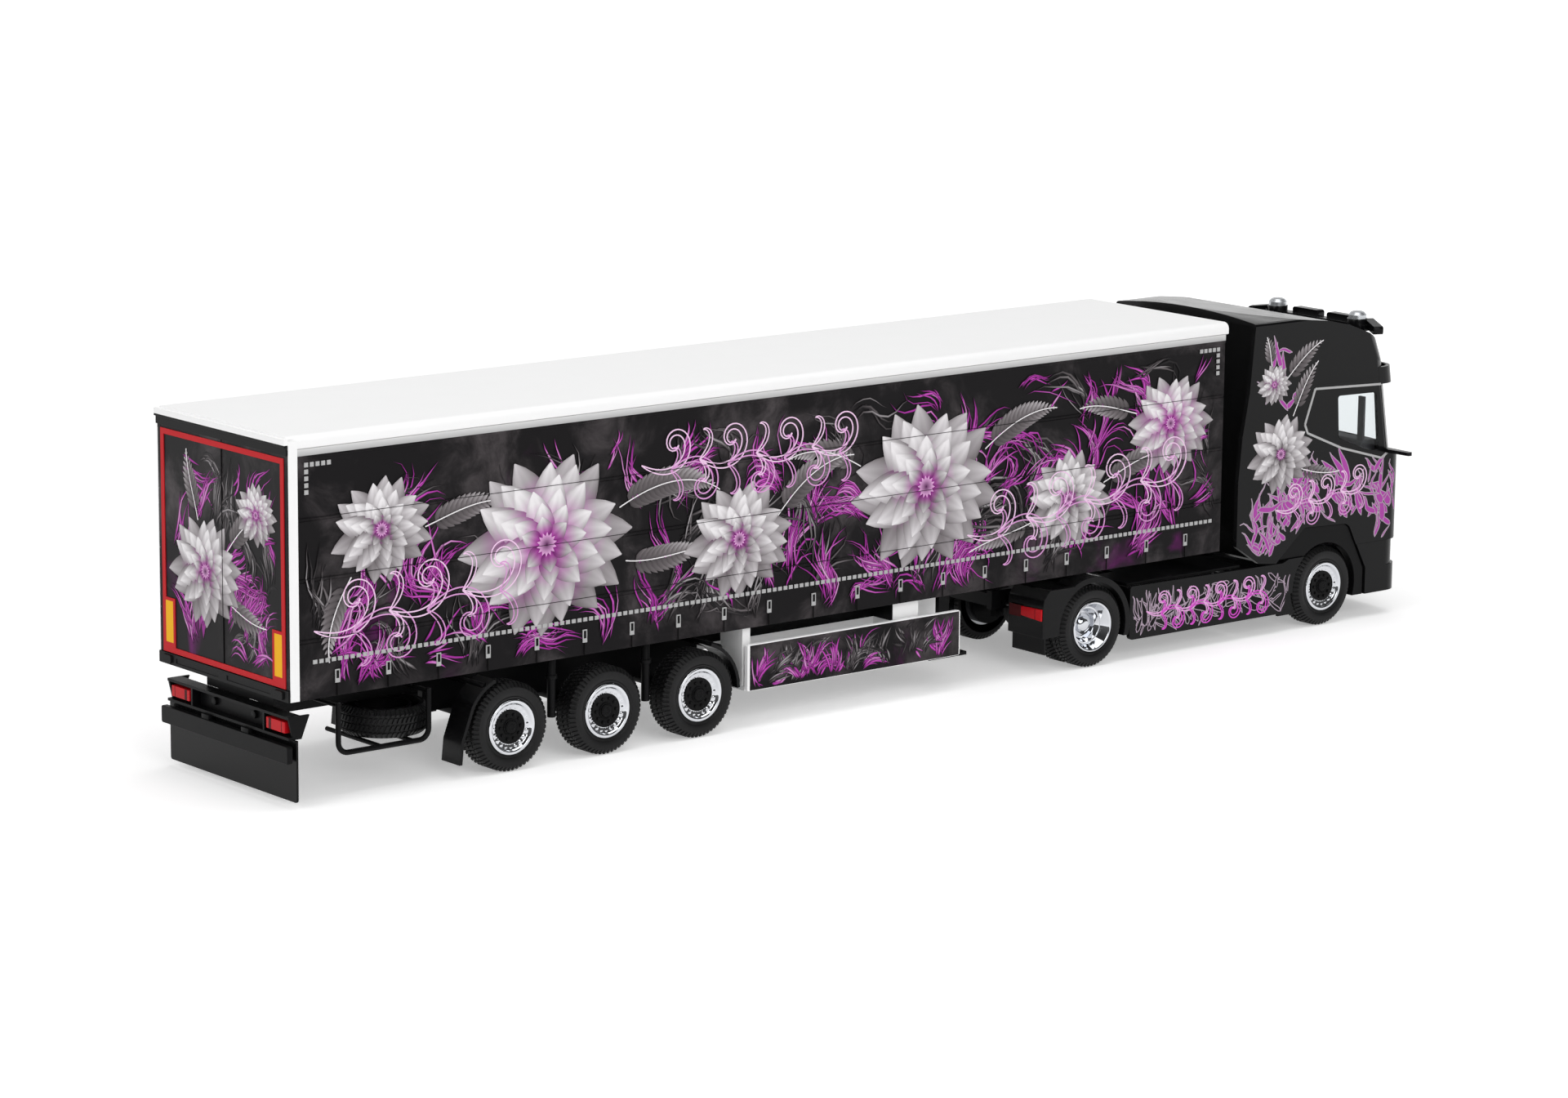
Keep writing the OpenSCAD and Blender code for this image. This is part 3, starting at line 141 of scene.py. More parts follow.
def clear_polystyrene():
    """Clear polystyrene glazing: water-clear with a faint grey edge; light passes it without a shadow."""
    # The panes are thin and hardly bend what is seen through them, so the index is below the usual 1.59
    material, tree, shader = finish("clear polystyrene", "#f0f3f4", 0.02, Transmission_Weight=1.0, IOR=1.2)
    place = add(tree, "TexCoord")["Object"]
    haze = add(tree, "TexNoise", {"Vector": place, "Scale": 1000 / BLOTCH_MM, "Detail": 2.0})[0]
    gloss = add(tree, "MapRange", {"Value": haze, "To Min": 0.0, "To Max": 0.04})[0]
    tree.links.new(gloss, shader.inputs["Roughness"])
    through = add(tree, "BsdfTransparent")[0]
    is_shadow = add(tree, "LightPath")["Is Shadow Ray"]
    mixed = add(tree, "MixShader", {0: is_shadow, 1: shader.outputs[0], 2: through})[0]
    tree.links.new(mixed, tree.nodes["Material Output"].inputs["Surface"])
    return material


# Sizes in the airbrushed ground: its swirls and how far they reach, wisps of smoke, patches and flames
SWIRL_MM = 13
SWAY_MM = 6
SMOKE_MM = 15
PATCH_MM = 34
FLAME_MM = 17


def airbrushed_print():
    """Screen-printed ABS: a satin black ground with airbrushed grey smoke and thin magenta flames."""
    material, tree, shader = finish("airbrushed print on ABS", "#121012", 0.4, Specular_IOR_Level=0.1)
    place = add(tree, "TexCoord")["Object"]
    drift = add(tree, "TexNoise", {"Vector": place, "Scale": 1000 / SWIRL_MM, "Detail": 2.0})["Color"]
    sway = {0: drift, 1: [2 * mm(SWAY_MM)] * 3, 2: [-mm(SWAY_MM)] * 3}
    wander = add(tree, "VectorMath", sway, operation="MULTIPLY_ADD")[0]
    swirl = add(tree, "VectorMath", {0: place, 1: wander}, operation="ADD")[0]
    wisps = {"Vector": swirl, "Scale": 1000 / SMOKE_MM, "Detail": 7.0, "Roughness": 0.62}
    smoke = add(tree, "TexNoise", wisps)[0]
    patches = add(tree, "TexNoise", {"Vector": swirl, "Scale": 1000 / PATCH_MM, "Detail": 1.0})[0]
    crests = {"Vector": swirl, "Scale": 1000 / FLAME_MM, "Detail": 4.0, "Gain": 2.0, "Offset": 0.9}
    ridges = add(tree, "TexNoise", crests, noise_type="RIDGED_MULTIFRACTAL", normalize=False)[0]
    zone = add(tree, "MapRange", {"Value": patches, "From Min": 0.47, "From Max": 0.64})[0]
    flames = add(tree, "Math", {0: ridges, 1: zone}, operation="MULTIPLY")[0]
    # Layers of ink: colour, pattern, and where the pattern starts to take and takes fully
    layers = (("#5f595b", smoke, 0.46, 0.78), ("#7a1c74", flames, 0.9, 1.9), ("#c94fbe", flames, 1.5, 2.2))
    colour = linear("#121012")
    for ink, pattern, bare, full in layers:
        levels = {"Value": pattern, "From Min": bare, "From Max": full}
        cover = add(tree, "MapRange", levels, interpolation_type="SMOOTHSTEP")[0]
        colour = add(tree, "Mix", {0: cover, 6: colour, 7: linear(ink)}, data_type="RGBA")[2]
    tree.links.new(colour, shader.inputs["Base Color"])
    moulded_surface(tree, shader, None, (0.36, 0.46), 0.3, 0.001)
    return material


def printing_ink():
    """Opaque printing inks on ABS: each film keeps its own colour, with the satin of dried ink."""
    material, tree, shader = finish("printing inks", "#888888", 0.4, Specular_IOR_Level=0.1)
    ink = add(tree, "Attribute", attribute_name="ink")["Color"]
    tree.links.new(ink, shader.inputs["Base Color"])
    moulded_surface(tree, shader, None, (0.34, 0.46), 0.25, 0.001)
    return material


# Finishes of the slots. A moulded one has two colours and two roughnesses that it drifts between, the width
# and depth of its grain in mm, and its specular level. Real grain is about 0.03 mm wide, too fine to show
# on a model seen whole, so it is drawn coarser
MATERIALS = {
    "printed_black": airbrushed_print(),
    # White ABS, moulded and left unpainted: bright and neutral, with a soft satin sheen
    "white_abs": moulded("white ABS", ("#f8f8f8", "#fcfcfc"), (0.34, 0.44), 0.2, 0.002),
    # Black ABS, injection moulded in an eroded tool: satin and nearly neutral, with soft grey highlights
    "black_abs": moulded("black ABS", ("#0a0a0b", "#121213"), (0.34, 0.46), 0.16, 0.003, 0.1),
    # Dark grey ABS, moulded with a matt grain: the cab's inside, which takes little light
    "grey_abs": moulded("dark grey ABS", ("#27272a", "#343437"), (0.55, 0.7), 0.2, 0.006, 0.3),
    # Vacuum-chromed ABS: a mirror with the faint orange peel of the lacquer under the metal
    "chromed_abs": moulded("chromed ABS", ("#c9cbd0", "#dadcdf"), (0.04, 0.09), 0.5, 0.004, Metallic=1.0),
    # Soft vinyl rubber, moulded: dull charcoal, with a grey bloom where it is handled
    "tyre_rubber": moulded("soft vinyl rubber", ("#0a0a0b", "#101011"), (0.42, 0.56), 0.12, 0.003, 0.28),
    # Red polystyrene: a wet gloss over a deep colour
    "red_lens": moulded("red polystyrene", ("#b00d18", "#d0141f"), (0.1, 0.18), 0.3, 0.003, 0.12),
    "clear_glazing": clear_polystyrene(),
    # Silver lacquer on moulded domes: fine metal flakes in a clear coat
    "silver_dome": moulded(
        "silver lacquer", ("#bfc2c6", "#d6d9dc"), (0.2, 0.34), 0.12, 0.003, Metallic=0.7, Coat_Weight=0.5
    ),
}
# Black ABS from a polished tool: a deep black, with clear but dim reflections of the studio
POLISHED_BLACK = moulded("polished black ABS", ("#0c0c0d", "#111112"), (0.16, 0.24), 0.6, 0.001, 0.14)
PRINTING_INK = printing_ink()
POLISHED_NODES = (
    "cab_shell", "cab_roof", "front_bumper", "side_skirts", "rear_mudflap", "trailer_fenders",
    "rear_mudguards", "sun_visor", "camera_arms", "light_bar",
)
NODE_FINISH = {name: POLISHED_BLACK for name in POLISHED_NODES}
NODE_FINISH["spare_rim"] = MATERIALS["black_abs"]
finish_of_node = {name: NODE_FINISH.get(name, MATERIALS[slot_of_node[name]]) for name in nodes}
for name, node in nodes.items():
    node.data.materials.clear()
    node.data.materials.append(finish_of_node[name])


# Stage: floor, light and camera

# The camera stands behind the lorry on its right; both points are measured from the trailer's rear face
CAMERA_AT = (-310.72, -486.83, 145.51)
CAMERA_AIM = (89.10, 0.0, 19.61)
CAMERA_ROLL = 0.556
CAMERA_LENS = 109.47
FLOOR_SIZE = 6000
# The floor glows a little round the model, so that its shadow shows, and fully from FLOOR_WHITE outwards
FLOOR_GLOW = 0.34
FLOOR_NEAR = 160
FLOOR_WHITE = 620
# World: light on the model, what mirrors see overhead, and in the dark room on the right
AMBIENT = 0.45
MIRROR_TOP = 0.4
MIRROR_ROOM = 0.12
# Softboxes: name, place, aim, width and height, and watts
SOFTBOXES = (
    ("overhead softbox", (20, -60, 620), (0, 0, 20), (520, 420), 1.4),
    ("side softbox", (-120, -560, 300), (0, 0, 25), (420, 300), 1.2),
    ("rear softbox", (-620, -60, 260), (-60, 0, 25), (300, 300), 0.8),
)


def seen_rays(tree):
    """1 for rays from the camera, from mirrors and through glass, and 0 for those that light the model."""
    rays = add(tree, "LightPath")
    mirror = add(tree, "Math", {0: rays["Is Camera Ray"], 1: rays["Is Glossy Ray"]}, operation="MAXIMUM")[0]
    return add(tree, "Math", {0: mirror, 1: rays["Is Transmission Ray"]}, operation="MAXIMUM")[0]


def lay_floor():
    """A wide pale floor that stays white to the camera and in mirrors, and keeps the model's shadow."""
    mesh = bpy.data.meshes.new("floor")
    half = mm(FLOOR_SIZE / 2)
    corners = [(-half, -half, 0), (half, -half, 0), (half, half, 0), (-half, half, 0)]
    mesh.from_pydata(corners, [], [(0, 1, 2, 3)])
    floor = bpy.data.objects.new("floor", mesh)
    bpy.context.scene.collection.objects.link(floor)
    material, tree, shader = finish("white paper sweep", "#f4f4f4", 0.9, Specular_IOR_Level=0.0)
    place = add(tree, "TexCoord")["Object"]
    away = add(tree, "VectorMath", {0: place}, operation="LENGTH")["Value"]
    rise = {"Value": away, "From Min": mm(FLOOR_NEAR), "From Max": mm(FLOOR_WHITE), "To Min": FLOOR_GLOW}
    level = add(tree, "MapRange", rise, interpolation_type="SMOOTHSTEP")[0]
    lift = add(tree, "Math", {0: level, 1: seen_rays(tree)}, operation="MULTIPLY")[0]
    glow = add(tree, "Emission", {"Color": linear("#ffffff"), "Strength": lift})[0]
    both = add(tree, "AddShader", {0: shader.outputs[0], 1: glow})[0]
    tree.links.new(both, tree.nodes["Material Output"].inputs["Surface"])
    mesh.materials.append(material)


def light_world():
    """White to the eye and through glass. Mirrors see it dim overhead, and a dark room on the right."""
    world = bpy.data.worlds.new("studio")
    world.use_nodes = True
    bpy.context.scene.world = world
    tree = world.node_tree
    way = add(tree, "SeparateXYZ", {0: add(tree, "TexCoord")["Generated"]})
    overhead = {"Value": way["Z"], "From Min": 0.05, "From Max": 0.7, "To Min": 1.0, "To Max": MIRROR_TOP}
    to_room = {"Value": way["Y"], "From Min": -0.25, "From Max": 0.1, "To Min": MIRROR_ROOM, "To Max": 1.0}
    shares = {0: add(tree, "MapRange", overhead)[0], 1: add(tree, "MapRange", to_room)[0]}
    mirrored = add(tree, "Math", shares, operation="MULTIPLY")[0]
    rays = add(tree, "LightPath")
    lit = add(tree, "MapRange", {"Value": rays["Is Glossy Ray"], "To Min": AMBIENT, "To Max": mirrored})[0]
    direct = {0: rays["Is Camera Ray"], 1: rays["Is Transmission Ray"]}
    plain = add(tree, "Math", direct, operation="MAXIMUM")[0]
    strength = add(tree, "MapRange", {"Value": plain, "To Min": lit, "To Max": 1.0})[0]
    background = tree.nodes["Background"]
    background.inputs["Color"].default_value = linear("#ffffff")
    tree.links.new(strength, background.inputs["Strength"])


def stand(name, kind, at, turn):
    """Puts a lamp or the camera at a place in the scene, turned as given."""
    holder = bpy.data.objects.new(name, kind)
    holder.location = [mm(v) for v in at]
    holder.rotation_euler = turn.to_euler()
    bpy.context.scene.collection.objects.link(holder)
    return holder


def softbox(name, at, aim, size, watts):
    lamp = bpy.data.lights.new(name, "AREA")
    lamp.shape = "RECTANGLE"
    lamp.size = mm(size[0])
    lamp.size_y = mm(size[1])
    lamp.energy = watts
    stand(name, lamp, at, (Vector(aim) - Vector(at)).to_track_quat("-Z", "Y"))


def place_camera():
    lens = bpy.data.cameras.new("camera")
    lens.lens = CAMERA_LENS
    aim = (Vector(CAMERA_AIM) - Vector(CAMERA_AT)).to_track_quat("-Z", "Y")
    roll = Quaternion((0, 0, 1), math.radians(CAMERA_ROLL))
    at = Vector(CAMERA_AT) + Vector((TAIL, 0, 0))
    bpy.context.scene.camera = stand("camera", lens, at, aim @ roll)


bpy.context.scene.view_settings.view_transform = "Standard"
lay_floor()
light_world()
for lamp in SOFTBOXES:
    softbox(*lamp)
place_camera()


# Rigid pieces: a copy of each moulding with its sharp edges eased, as a moulding has them

# Points closer than this are one, faces within FLAT degrees are one, and edges sharper than CREASE are eased
MERGE = mm(0.002)
FLAT = 0.4
CREASE = 28
# Nodes by the radius of their eased edges
EASED = {
    0.12: ("trailer_roof",),
    0.1: ("cab_shell", "cab_roof"),
    0.08: ("curtain_left", "curtain_right", "rear_frame", "pallet_boxes", "front_bumper"),
    0.07: (
        "rear_bumper", "underrun_bar", "landing_legs", "sun_visor", "light_bar", "camera_arms",
        "wheel_arch_trims", "side_skirts", "rear_mudguards",
    ),
    0.06: (
        "rear_doors", "rear_mudflap", "trailer_fenders", "front_wall", "deck_plate", "trailer_tail_lamps",
        "tractor_tail_lamps", "headlamps",
    ),
    0.05: ("trailer_frame", "front_grille"),
}


def link(name, mesh, node, slot, material):
    """Makes a piece of a mesh: it moves with a node's body and takes the given finish. The slot is not used.
    """
    piece = bpy.data.objects.new(name, mesh)
    bpy.context.scene.collection.objects.link(piece)
    mesh.materials.append(material)
    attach(piece, body_of_node[node])
    return piece


def closed_mesh(name, points, faces):
    """A mesh whose faces all look outwards."""
    mesh = bpy.data.meshes.new(name)
    mesh.from_pydata(points, [], faces)
    shape = bmesh.new()
    shape.from_mesh(mesh)
    bmesh.ops.recalc_face_normals(shape, faces=shape.faces)
    shape.to_mesh(mesh)
    shape.free()
    return mesh


def eased(node, edge_mm):
    """Stands for a node with its edges rounded by edge_mm, and smooth where its curve is fine."""
    shape = bmesh.new()
    shape.from_mesh(nodes[node].data)
    bmesh.ops.remove_doubles(shape, verts=shape.verts, dist=MERGE)
    bmesh.ops.dissolve_limit(shape, angle_limit=math.radians(FLAT), verts=shape.verts, edges=shape.edges)
    for face in shape.faces:
        face.smooth = True
    mesh = bpy.data.meshes.new(node + "_eased")
    shape.to_mesh(mesh)
    shape.free()
    piece = link(node + "_eased", mesh, node, slot_of_node[node], finish_of_node[node])
    bevel = piece.modifiers.new("edge", "BEVEL")
    bevel.width = mm(edge_mm)
    bevel.segments = 2
    bevel.angle_limit = math.radians(CREASE)
    bevel.limit_method = "ANGLE"
    weighted = piece.modifiers.new("shading", "WEIGHTED_NORMAL")
    weighted.keep_sharp = True
    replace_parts(piece, node)


for edge, members in EASED.items():
    for node in members:
        eased(node, edge)


# Wheels


class Lofted:
    """A mesh of rings that are joined one to the next."""

    def __init__(self):
        self.points = []
        self.faces = []

    def loft(self, rings, closed):
        """Joins rings of equal length: closed joins the last to the first, or else both ends get a cap."""
        start = len(self.points)
        count = len(rings[0])
        for ring in rings:
            self.points.extend(ring)
        for i in range(len(rings) - (0 if closed else 1)):
            low = start + i * count
            high = start + (i + 1) % len(rings) * count
            for j in range(count):
                k = (j + 1) % count
                self.faces.append((low + j, low + k, high + k, high + j))
        if not closed:
            self.faces.append(tuple(range(start + count - 1, start - 1, -1)))
            self.faces.append(tuple(range(start + (len(rings) - 1) * count, len(self.points))))

    def piece(self, name, node, slot, crease):
        mesh = closed_mesh(name, self.points, self.faces)
        mesh.shade_smooth()
        mesh.set_sharp_from_angle(angle=math.radians(crease))
        return link(name, mesh, node, slot, MATERIALS[slot])


def islands(node):
    """Boxes of the separate solids of a node, each as its lowest and highest corner in millimetres."""
    shape = bmesh.new()
    shape.from_mesh(nodes[node].data)
    bmesh.ops.remove_doubles(shape, verts=shape.verts, dist=MERGE)
    left = set(shape.verts)
    boxes = []
    while left:
        reached = [left.pop()]
        for vert in reached:
            for edge in vert.link_edges:
                other = edge.other_vert(vert)
                if other in left:
                    left.remove(other)
                    reached.append(other)
        boxes.append([[pick(v.co[axis] * 1000 for v in reached) for axis in range(3)] for pick in (min, max)])
    shape.free()
    return boxes


def upright(middle, face, side):
    """Places a point of a wheel that stands: radius and angle about Y, depth inwards from its outer face."""
    return lambda radius, angle, depth: (
        mm(middle[0] + radius * math.cos(angle)),
        mm(side * (face - depth)),
        mm(middle[2] + radius * math.sin(angle)),
    )


def laid_flat(middle, face):
    """Places a point of a wheel that lies flat: radius and angle about Z, depth up from its lower face."""
    return lambda radius, angle, depth: (
        mm(middle[0] + radius * math.cos(angle)),
        mm(middle[1] + radius * math.sin(angle)),
        mm(face + depth),
    )


def wheels(node):
    """The wheels of a node on one axle: middle, outer face, side of the lorry, radius and width of each."""
    for low, high in islands(node):
        middle = [(a + b) / 2 for a, b in zip(low, high)]
        face = max(abs(low[1]), abs(high[1]))
        side = 1 if middle[1] > 0 else -1
        yield middle, face, side, (high[0] - low[0]) / 2, high[1] - low[1]


def circle(place, radius, depth, count):
    return [place(radius, 2 * math.pi * j / count, depth) for j in range(count)]


# Tread: blocks round the tyre, and where in each pitch a notch lies between two blocks
TREAD_BLOCKS = 56
NOTCH_AT = (0.0, 0.1, 0.4, 0.5)
TREAD_DEPTH = 0.2
# The inner wall of a tyre is plain from this row of the outer one down
INNER_ROWS = 5
BEAD_GAP = 0.02
TYRE_CREASE = 32


def tread_ring(place, radius, depth, notch, slant):
    """A ring of a tyre, cut to the depth notch between its blocks and turned by slant of a pitch."""
    ring = []
    for block in range(TREAD_BLOCKS):
        for k, share in enumerate(NOTCH_AT):
            angle = 2 * math.pi * (block + share + slant) / TREAD_BLOCKS
            ring.append(place(radius - (notch if k in (1, 2) else 0), angle, depth))
    return ring


def tyre_rows(radius, bead, width):
    """Rows from the outer bead over the tread to the inner bead: radius, depth, notch and slant."""
    cut = TREAD_DEPTH
    half = width / 2
    side = [
        (bead, 0.25, 0, 0),
        (bead + 0.12, 0.1, 0, 0),
        (bead + 0.34, 0.05, 0, 0),
        (bead + 0.42, 0.11, 0, 0),
        (bead + 0.55, 0.03, 0, 0),
        (radius - 1.1, 0.0, 0, 0),
        (radius - 0.64, 0.0, 0, 0),
        (radius - 0.6, 0.02, 0.1, 0),
        (radius - 0.3, 0.31, cut, 0),
        (radius, 0.6, cut, 0),
        (radius, 0.22 * width, cut, 0.25),
        (radius - cut, 0.22 * width + 0.04, 0, 0.25),
        (radius - cut, 0.27 * width, 0, 0.25),
        (radius, 0.27 * width + 0.04, cut, 0.4),
        (radius, 0.46 * width, cut, 0.9),
        (radius - cut, 0.46 * width + 0.04, 0, 0.9),
        (radius - cut, half, 0, 0.9),
    ]
    inner = reversed(side[INNER_ROWS:-1])
    return side + [(r, width - depth, notch, 1.8 - slant) for r, depth, notch, slant in inner]


def tyre(shape, place, radius, bead, width):
    shape.loft([tread_ring(place, *row) for row in tyre_rows(radius, bead, width)], True)


def finish_tyres(shape, node):
    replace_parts(shape.piece(node + "_treaded", node, "tyre_rubber", TYRE_CREASE), node)


def dress_tyres(node, bead):
    """Stands for a node of tyres on one axle, with beads, notched shoulders and grooved treads."""
    shape = Lofted()
    for middle, face, side, radius, width in wheels(node):
        tyre(shape, upright(middle, face, side), radius, bead, width)
    finish_tyres(shape, node)


RIM_SEGMENTS = 120
RIM_BEADS = 20
RIM_CREASE = 40
# A rim's tyre seat is this much wider than the rim shows
RIM_SEAT = 0.25


def beaded_ring(place, radius, depth, swell):
    """A ring of a rim that swells out by swell in each of its beads."""
    ring = []
    for j in range(RIM_SEGMENTS):
        angle = 2 * math.pi * j / RIM_SEGMENTS
        ring.append(place(radius, angle, depth - swell * math.cos(RIM_BEADS * angle)))
    return ring


def ring_rim(shape, place, rim, width):
    """A chromed rim ring: rolled lip, steep inner wall, and a beaded ring that seats on the hub."""
    seat = width - RIM_SEAT
    rows = [
        (rim - 1.33, 0.47, 0), (rim - 1.18, 0.46, 0), (rim - 1.06, 0.38, 0.05), (rim - 0.86, 0.36, 0.05),
        (rim - 0.7, 0.34, 0), (rim - 0.6, 0.26, 0), (rim - 0.5, 0.1, 0), (rim - 0.42, 0.02, 0),
        (rim - 0.34, 0.0, 0), (rim - 0.12, 0.0, 0), (rim - 0.04, 0.03, 0), (rim, 0.1, 0),
        (rim, seat, 0), (rim - 0.3, seat, 0), (rim - 0.3, 0.95, 0), (rim - 1.33, 0.95, 0),
    ]
    shape.loft([beaded_ring(place, *row) for row in rows], True)


def dished_rim(shape, place, rim, width):
    """The drive wheel's chromed rim: a rolled lip, a stepped deep dish and a domed hub in its middle."""
    rows = [
        (0.02, 1.42), (0.5, 1.44), (0.8, 1.5), (0.95, 1.62), (1.15, 1.8), (1.15, 2.52), (1.25, 2.6),
        (1.85, 2.6), (1.95, 2.5), (2.35, 1.36), (2.42, 1.3), (2.6, 1.3), (2.68, 1.2), (3.02, 0.42),
        (3.1, 0.34), (3.2, 0.1), (3.28, 0.02), (3.36, 0.0), (3.46, 0.0), (3.52, 0.04), (rim, 0.12),
        (rim, width - RIM_SEAT), (0.72, width - RIM_SEAT), (0.72, 3.0), (0.02, 3.0),
    ]
    shape.loft([circle(place, radius, depth, RIM_SEGMENTS) for radius, depth in rows], False)


def bolts(shape, place, radius, count, size, top, foot):
    """A circle of hexagon bolts with chamfered heads; size is the radius of a head over its corners."""
    for i in range(count):
        turn = 2 * math.pi * i / count

        def about(reach, angle, depth):
            across = radius + reach * math.cos(angle)
            along = reach * math.sin(angle)
            return place(math.hypot(across, along), turn + math.atan2(along, across), depth)

        rows = ((size * 0.7, top), (size, top + 0.05), (size, foot))
        shape.loft([circle(about, r, depth, 6) for r, depth in rows], False)


def dress_rims(node, dress, rim):
    """Stands for a node of two rims on one axle; dress draws one of them."""
    shape = Lofted()
    for middle, face, side, _, width in wheels(node):
        dress(shape, upright(middle, face, side), rim, width + RIM_SEAT)
    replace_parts(shape.piece(node + "_turned", node, "chromed_abs", RIM_CREASE), node)
    return middle, face


# Hubs: radius of the bolt circle, bolts, radius of a head, depths of its top and foot below the rim's face
HUB_BOLTS = (1.58, 10, 0.23, 0.16, 0.5)
# Sections of a hub's ring and of its cap: radius and depth
HUB_RING = ((0.86, 0.42), (0.92, 0.26), (1.02, 0.24), (1.08, 0.3), (1.1, 0.42))
HUB_CAP = ((0.5, 0.06), (0.42, 0.0), (0.3, 0.0), (0.24, 0.06))
HUB_CREASE = 30


def dress_hub(name, node, middle, face):
    """Bolts and a ring on the black hubs at both ends of an axle."""
    shape = Lofted()
    for side in (-1, 1):
        place = upright(middle, face, side)
        bolts(shape, place, *HUB_BOLTS)
        shape.loft([circle(place, r, depth, 48) for r, depth in HUB_RING], True)
        shape.loft([circle(place, r, depth, 32) for r, depth in HUB_CAP], True)
    shape.piece(name, node, "black_abs", HUB_CREASE)


RIM_RADIUS = (box_mm("trailer_rims_1")[1][0] - box_mm("trailer_rims_1")[0][0]) / 2
for axle in ("trailer_{}_1", "trailer_{}_2", "trailer_{}_3", "steer_{}", "drive_{}"):
    tyres = axle.format("tyres")
    rims = axle.format("rims")
    dress_tyres(tyres, RIM_RADIUS + BEAD_GAP)
    if axle == "drive_{}":
        dress_rims(rims, dished_rim, RIM_RADIUS)
    else:
        middle, face = dress_rims(rims, ring_rim, RIM_RADIUS)
        dress_hub(axle.format("hub_bolts"), rims, middle, face)


def dress_spare():
    """The spare wheel's tyre, laid flat under the tail."""
    low, high = islands("spare_tyre")[0]
    middle = [(a + b) / 2 for a, b in zip(low, high)]
    shape = Lofted()
    radius = (high[0] - low[0]) / 2
    tyre(shape, laid_flat(middle, low[2]), radius, RIM_RADIUS + BEAD_GAP, high[2] - low[2])
    finish_tyres(shape, "spare_tyre")


dress_spare()


# Print: thin films of ink on the sides, the doors and the cab

INK = {
    "ground": "#1b191b",
    "shade": "#0f0e0f",
    "grey": "#6c6668",
    "pale": "#b9b4b7",
    "white": "#f1eef0",
    "plum": "#4d1049",
    "magenta": "#b52fab",
    "bright": "#e25bd6",
    "pink": "#f0b4e8",
    "blush": "#f4d0ee",
    "rose": "#dd9fd6",
    "lilac": "#b5a3b3",
    "silver": "#b4b4b4",
    # A painted highlight on silver ink
    "silver highlight": "#dadada",
    "mauve": "#b04aa8",
    "red": "#c01d24",
    "garnet": "#45060a",
    "yellow": "#f2b51d",
    "bare": "#fafafa",
}
INK = {name: linear(colour) for name, colour in INK.items()}
# An ink film stands this far proud of its panel, each later layer a little further, and its foot is sunk
FILM = 0.006
LAYER = 0.0004
SUNK = -0.01
# Sides of the lorry, as signs of Y
SIDES = {-1: "right", 1: "left"}
# First layers of the kinds of ink, from the ground up
PLUME_LAYERS = 90
FROND_LAYER = 90
BLOSSOM_LAYER = 130
SCROLL_LAYER = 210
MARKING_LAYER = 270


def blend(first, second, share):
    return [a + (b - a) * share for a, b in zip(first, second)]


def ramp(inks, value):
    """A colour from a row of inks: 0 gives the first and 1 the last."""
    at = min(max(value, 0.0), 0.9999) * (len(inks) - 1)
    return blend(INK[inks[int(at)]], INK[inks[int(at) + 1]], at - int(at))


def side_panel(half, side):
    """Places ink on an upright flat side: u runs forward from the trailer's rear face and v up."""
    return lambda u, v, lift: (mm(TAIL + u), side * mm(half + lift), mm(v))


def rear_panel(face):
    """Places ink on the doors: u runs from left to right as seen from behind, v up."""
    return lambda u, v, lift: (mm(face - lift), mm(-u), mm(v))


def top_panel(height):
    """Places ink on a level top: u runs forward from the trailer's rear face and v to the left."""
    return lambda u, v, lift: (mm(TAIL + u), mm(v), mm(height + lift))


def draped_panel(members, side):
    """Places ink on a curved side, where a look straight across meets a node, and tells where it does."""
    half = max(box_mm(member)[1][1] for member in members)
    trees = []
    for member in members:
        mesh = nodes[member].data
        trees.append(BVHTree.FromPolygons([v.co for v in mesh.vertices], [p.vertices for p in mesh.polygons]))

    def reach(u, v, missed):
        eye = Vector((mm(TAIL + u), side * mm(2 * half), mm(v)))
        hits = [tree.ray_cast(eye, Vector((0, -side, 0)))[0] for tree in trees]
        return max((side * hit.y for hit in hits if hit), default=missed)

    def place(u, v, lift):
        return mm(TAIL + u), side * (reach(u, v, mm(half)) + mm(lift)), mm(v)

    def covers(u, v):
        return reach(u, v, 0.0) > mm(0.95 * half)
    return place, covers


# Points across a stroke, a petal and a fine stroke, from -1 to 1
STROKE_COLUMNS = (-1, -0.45, 0, 0.45, 1)
PETAL_COLUMNS = [i / 3 for i in range(-3, 4)]
FINE_COLUMNS = (-1, 0, 1)


def beside(path, offsets):
    """The points of a path, each moved to its left by an offset."""
    moved = []
    for i, (u, v) in enumerate(path):
        before = path[max(i - 1, 0)]
        after = path[min(i + 1, len(path) - 1)]
        along = Vector((after[0] - before[0], after[1] - before[1])).normalized()
        moved.append((u - along.y * offsets[i], v + along.x * offsets[i]))
    return moved


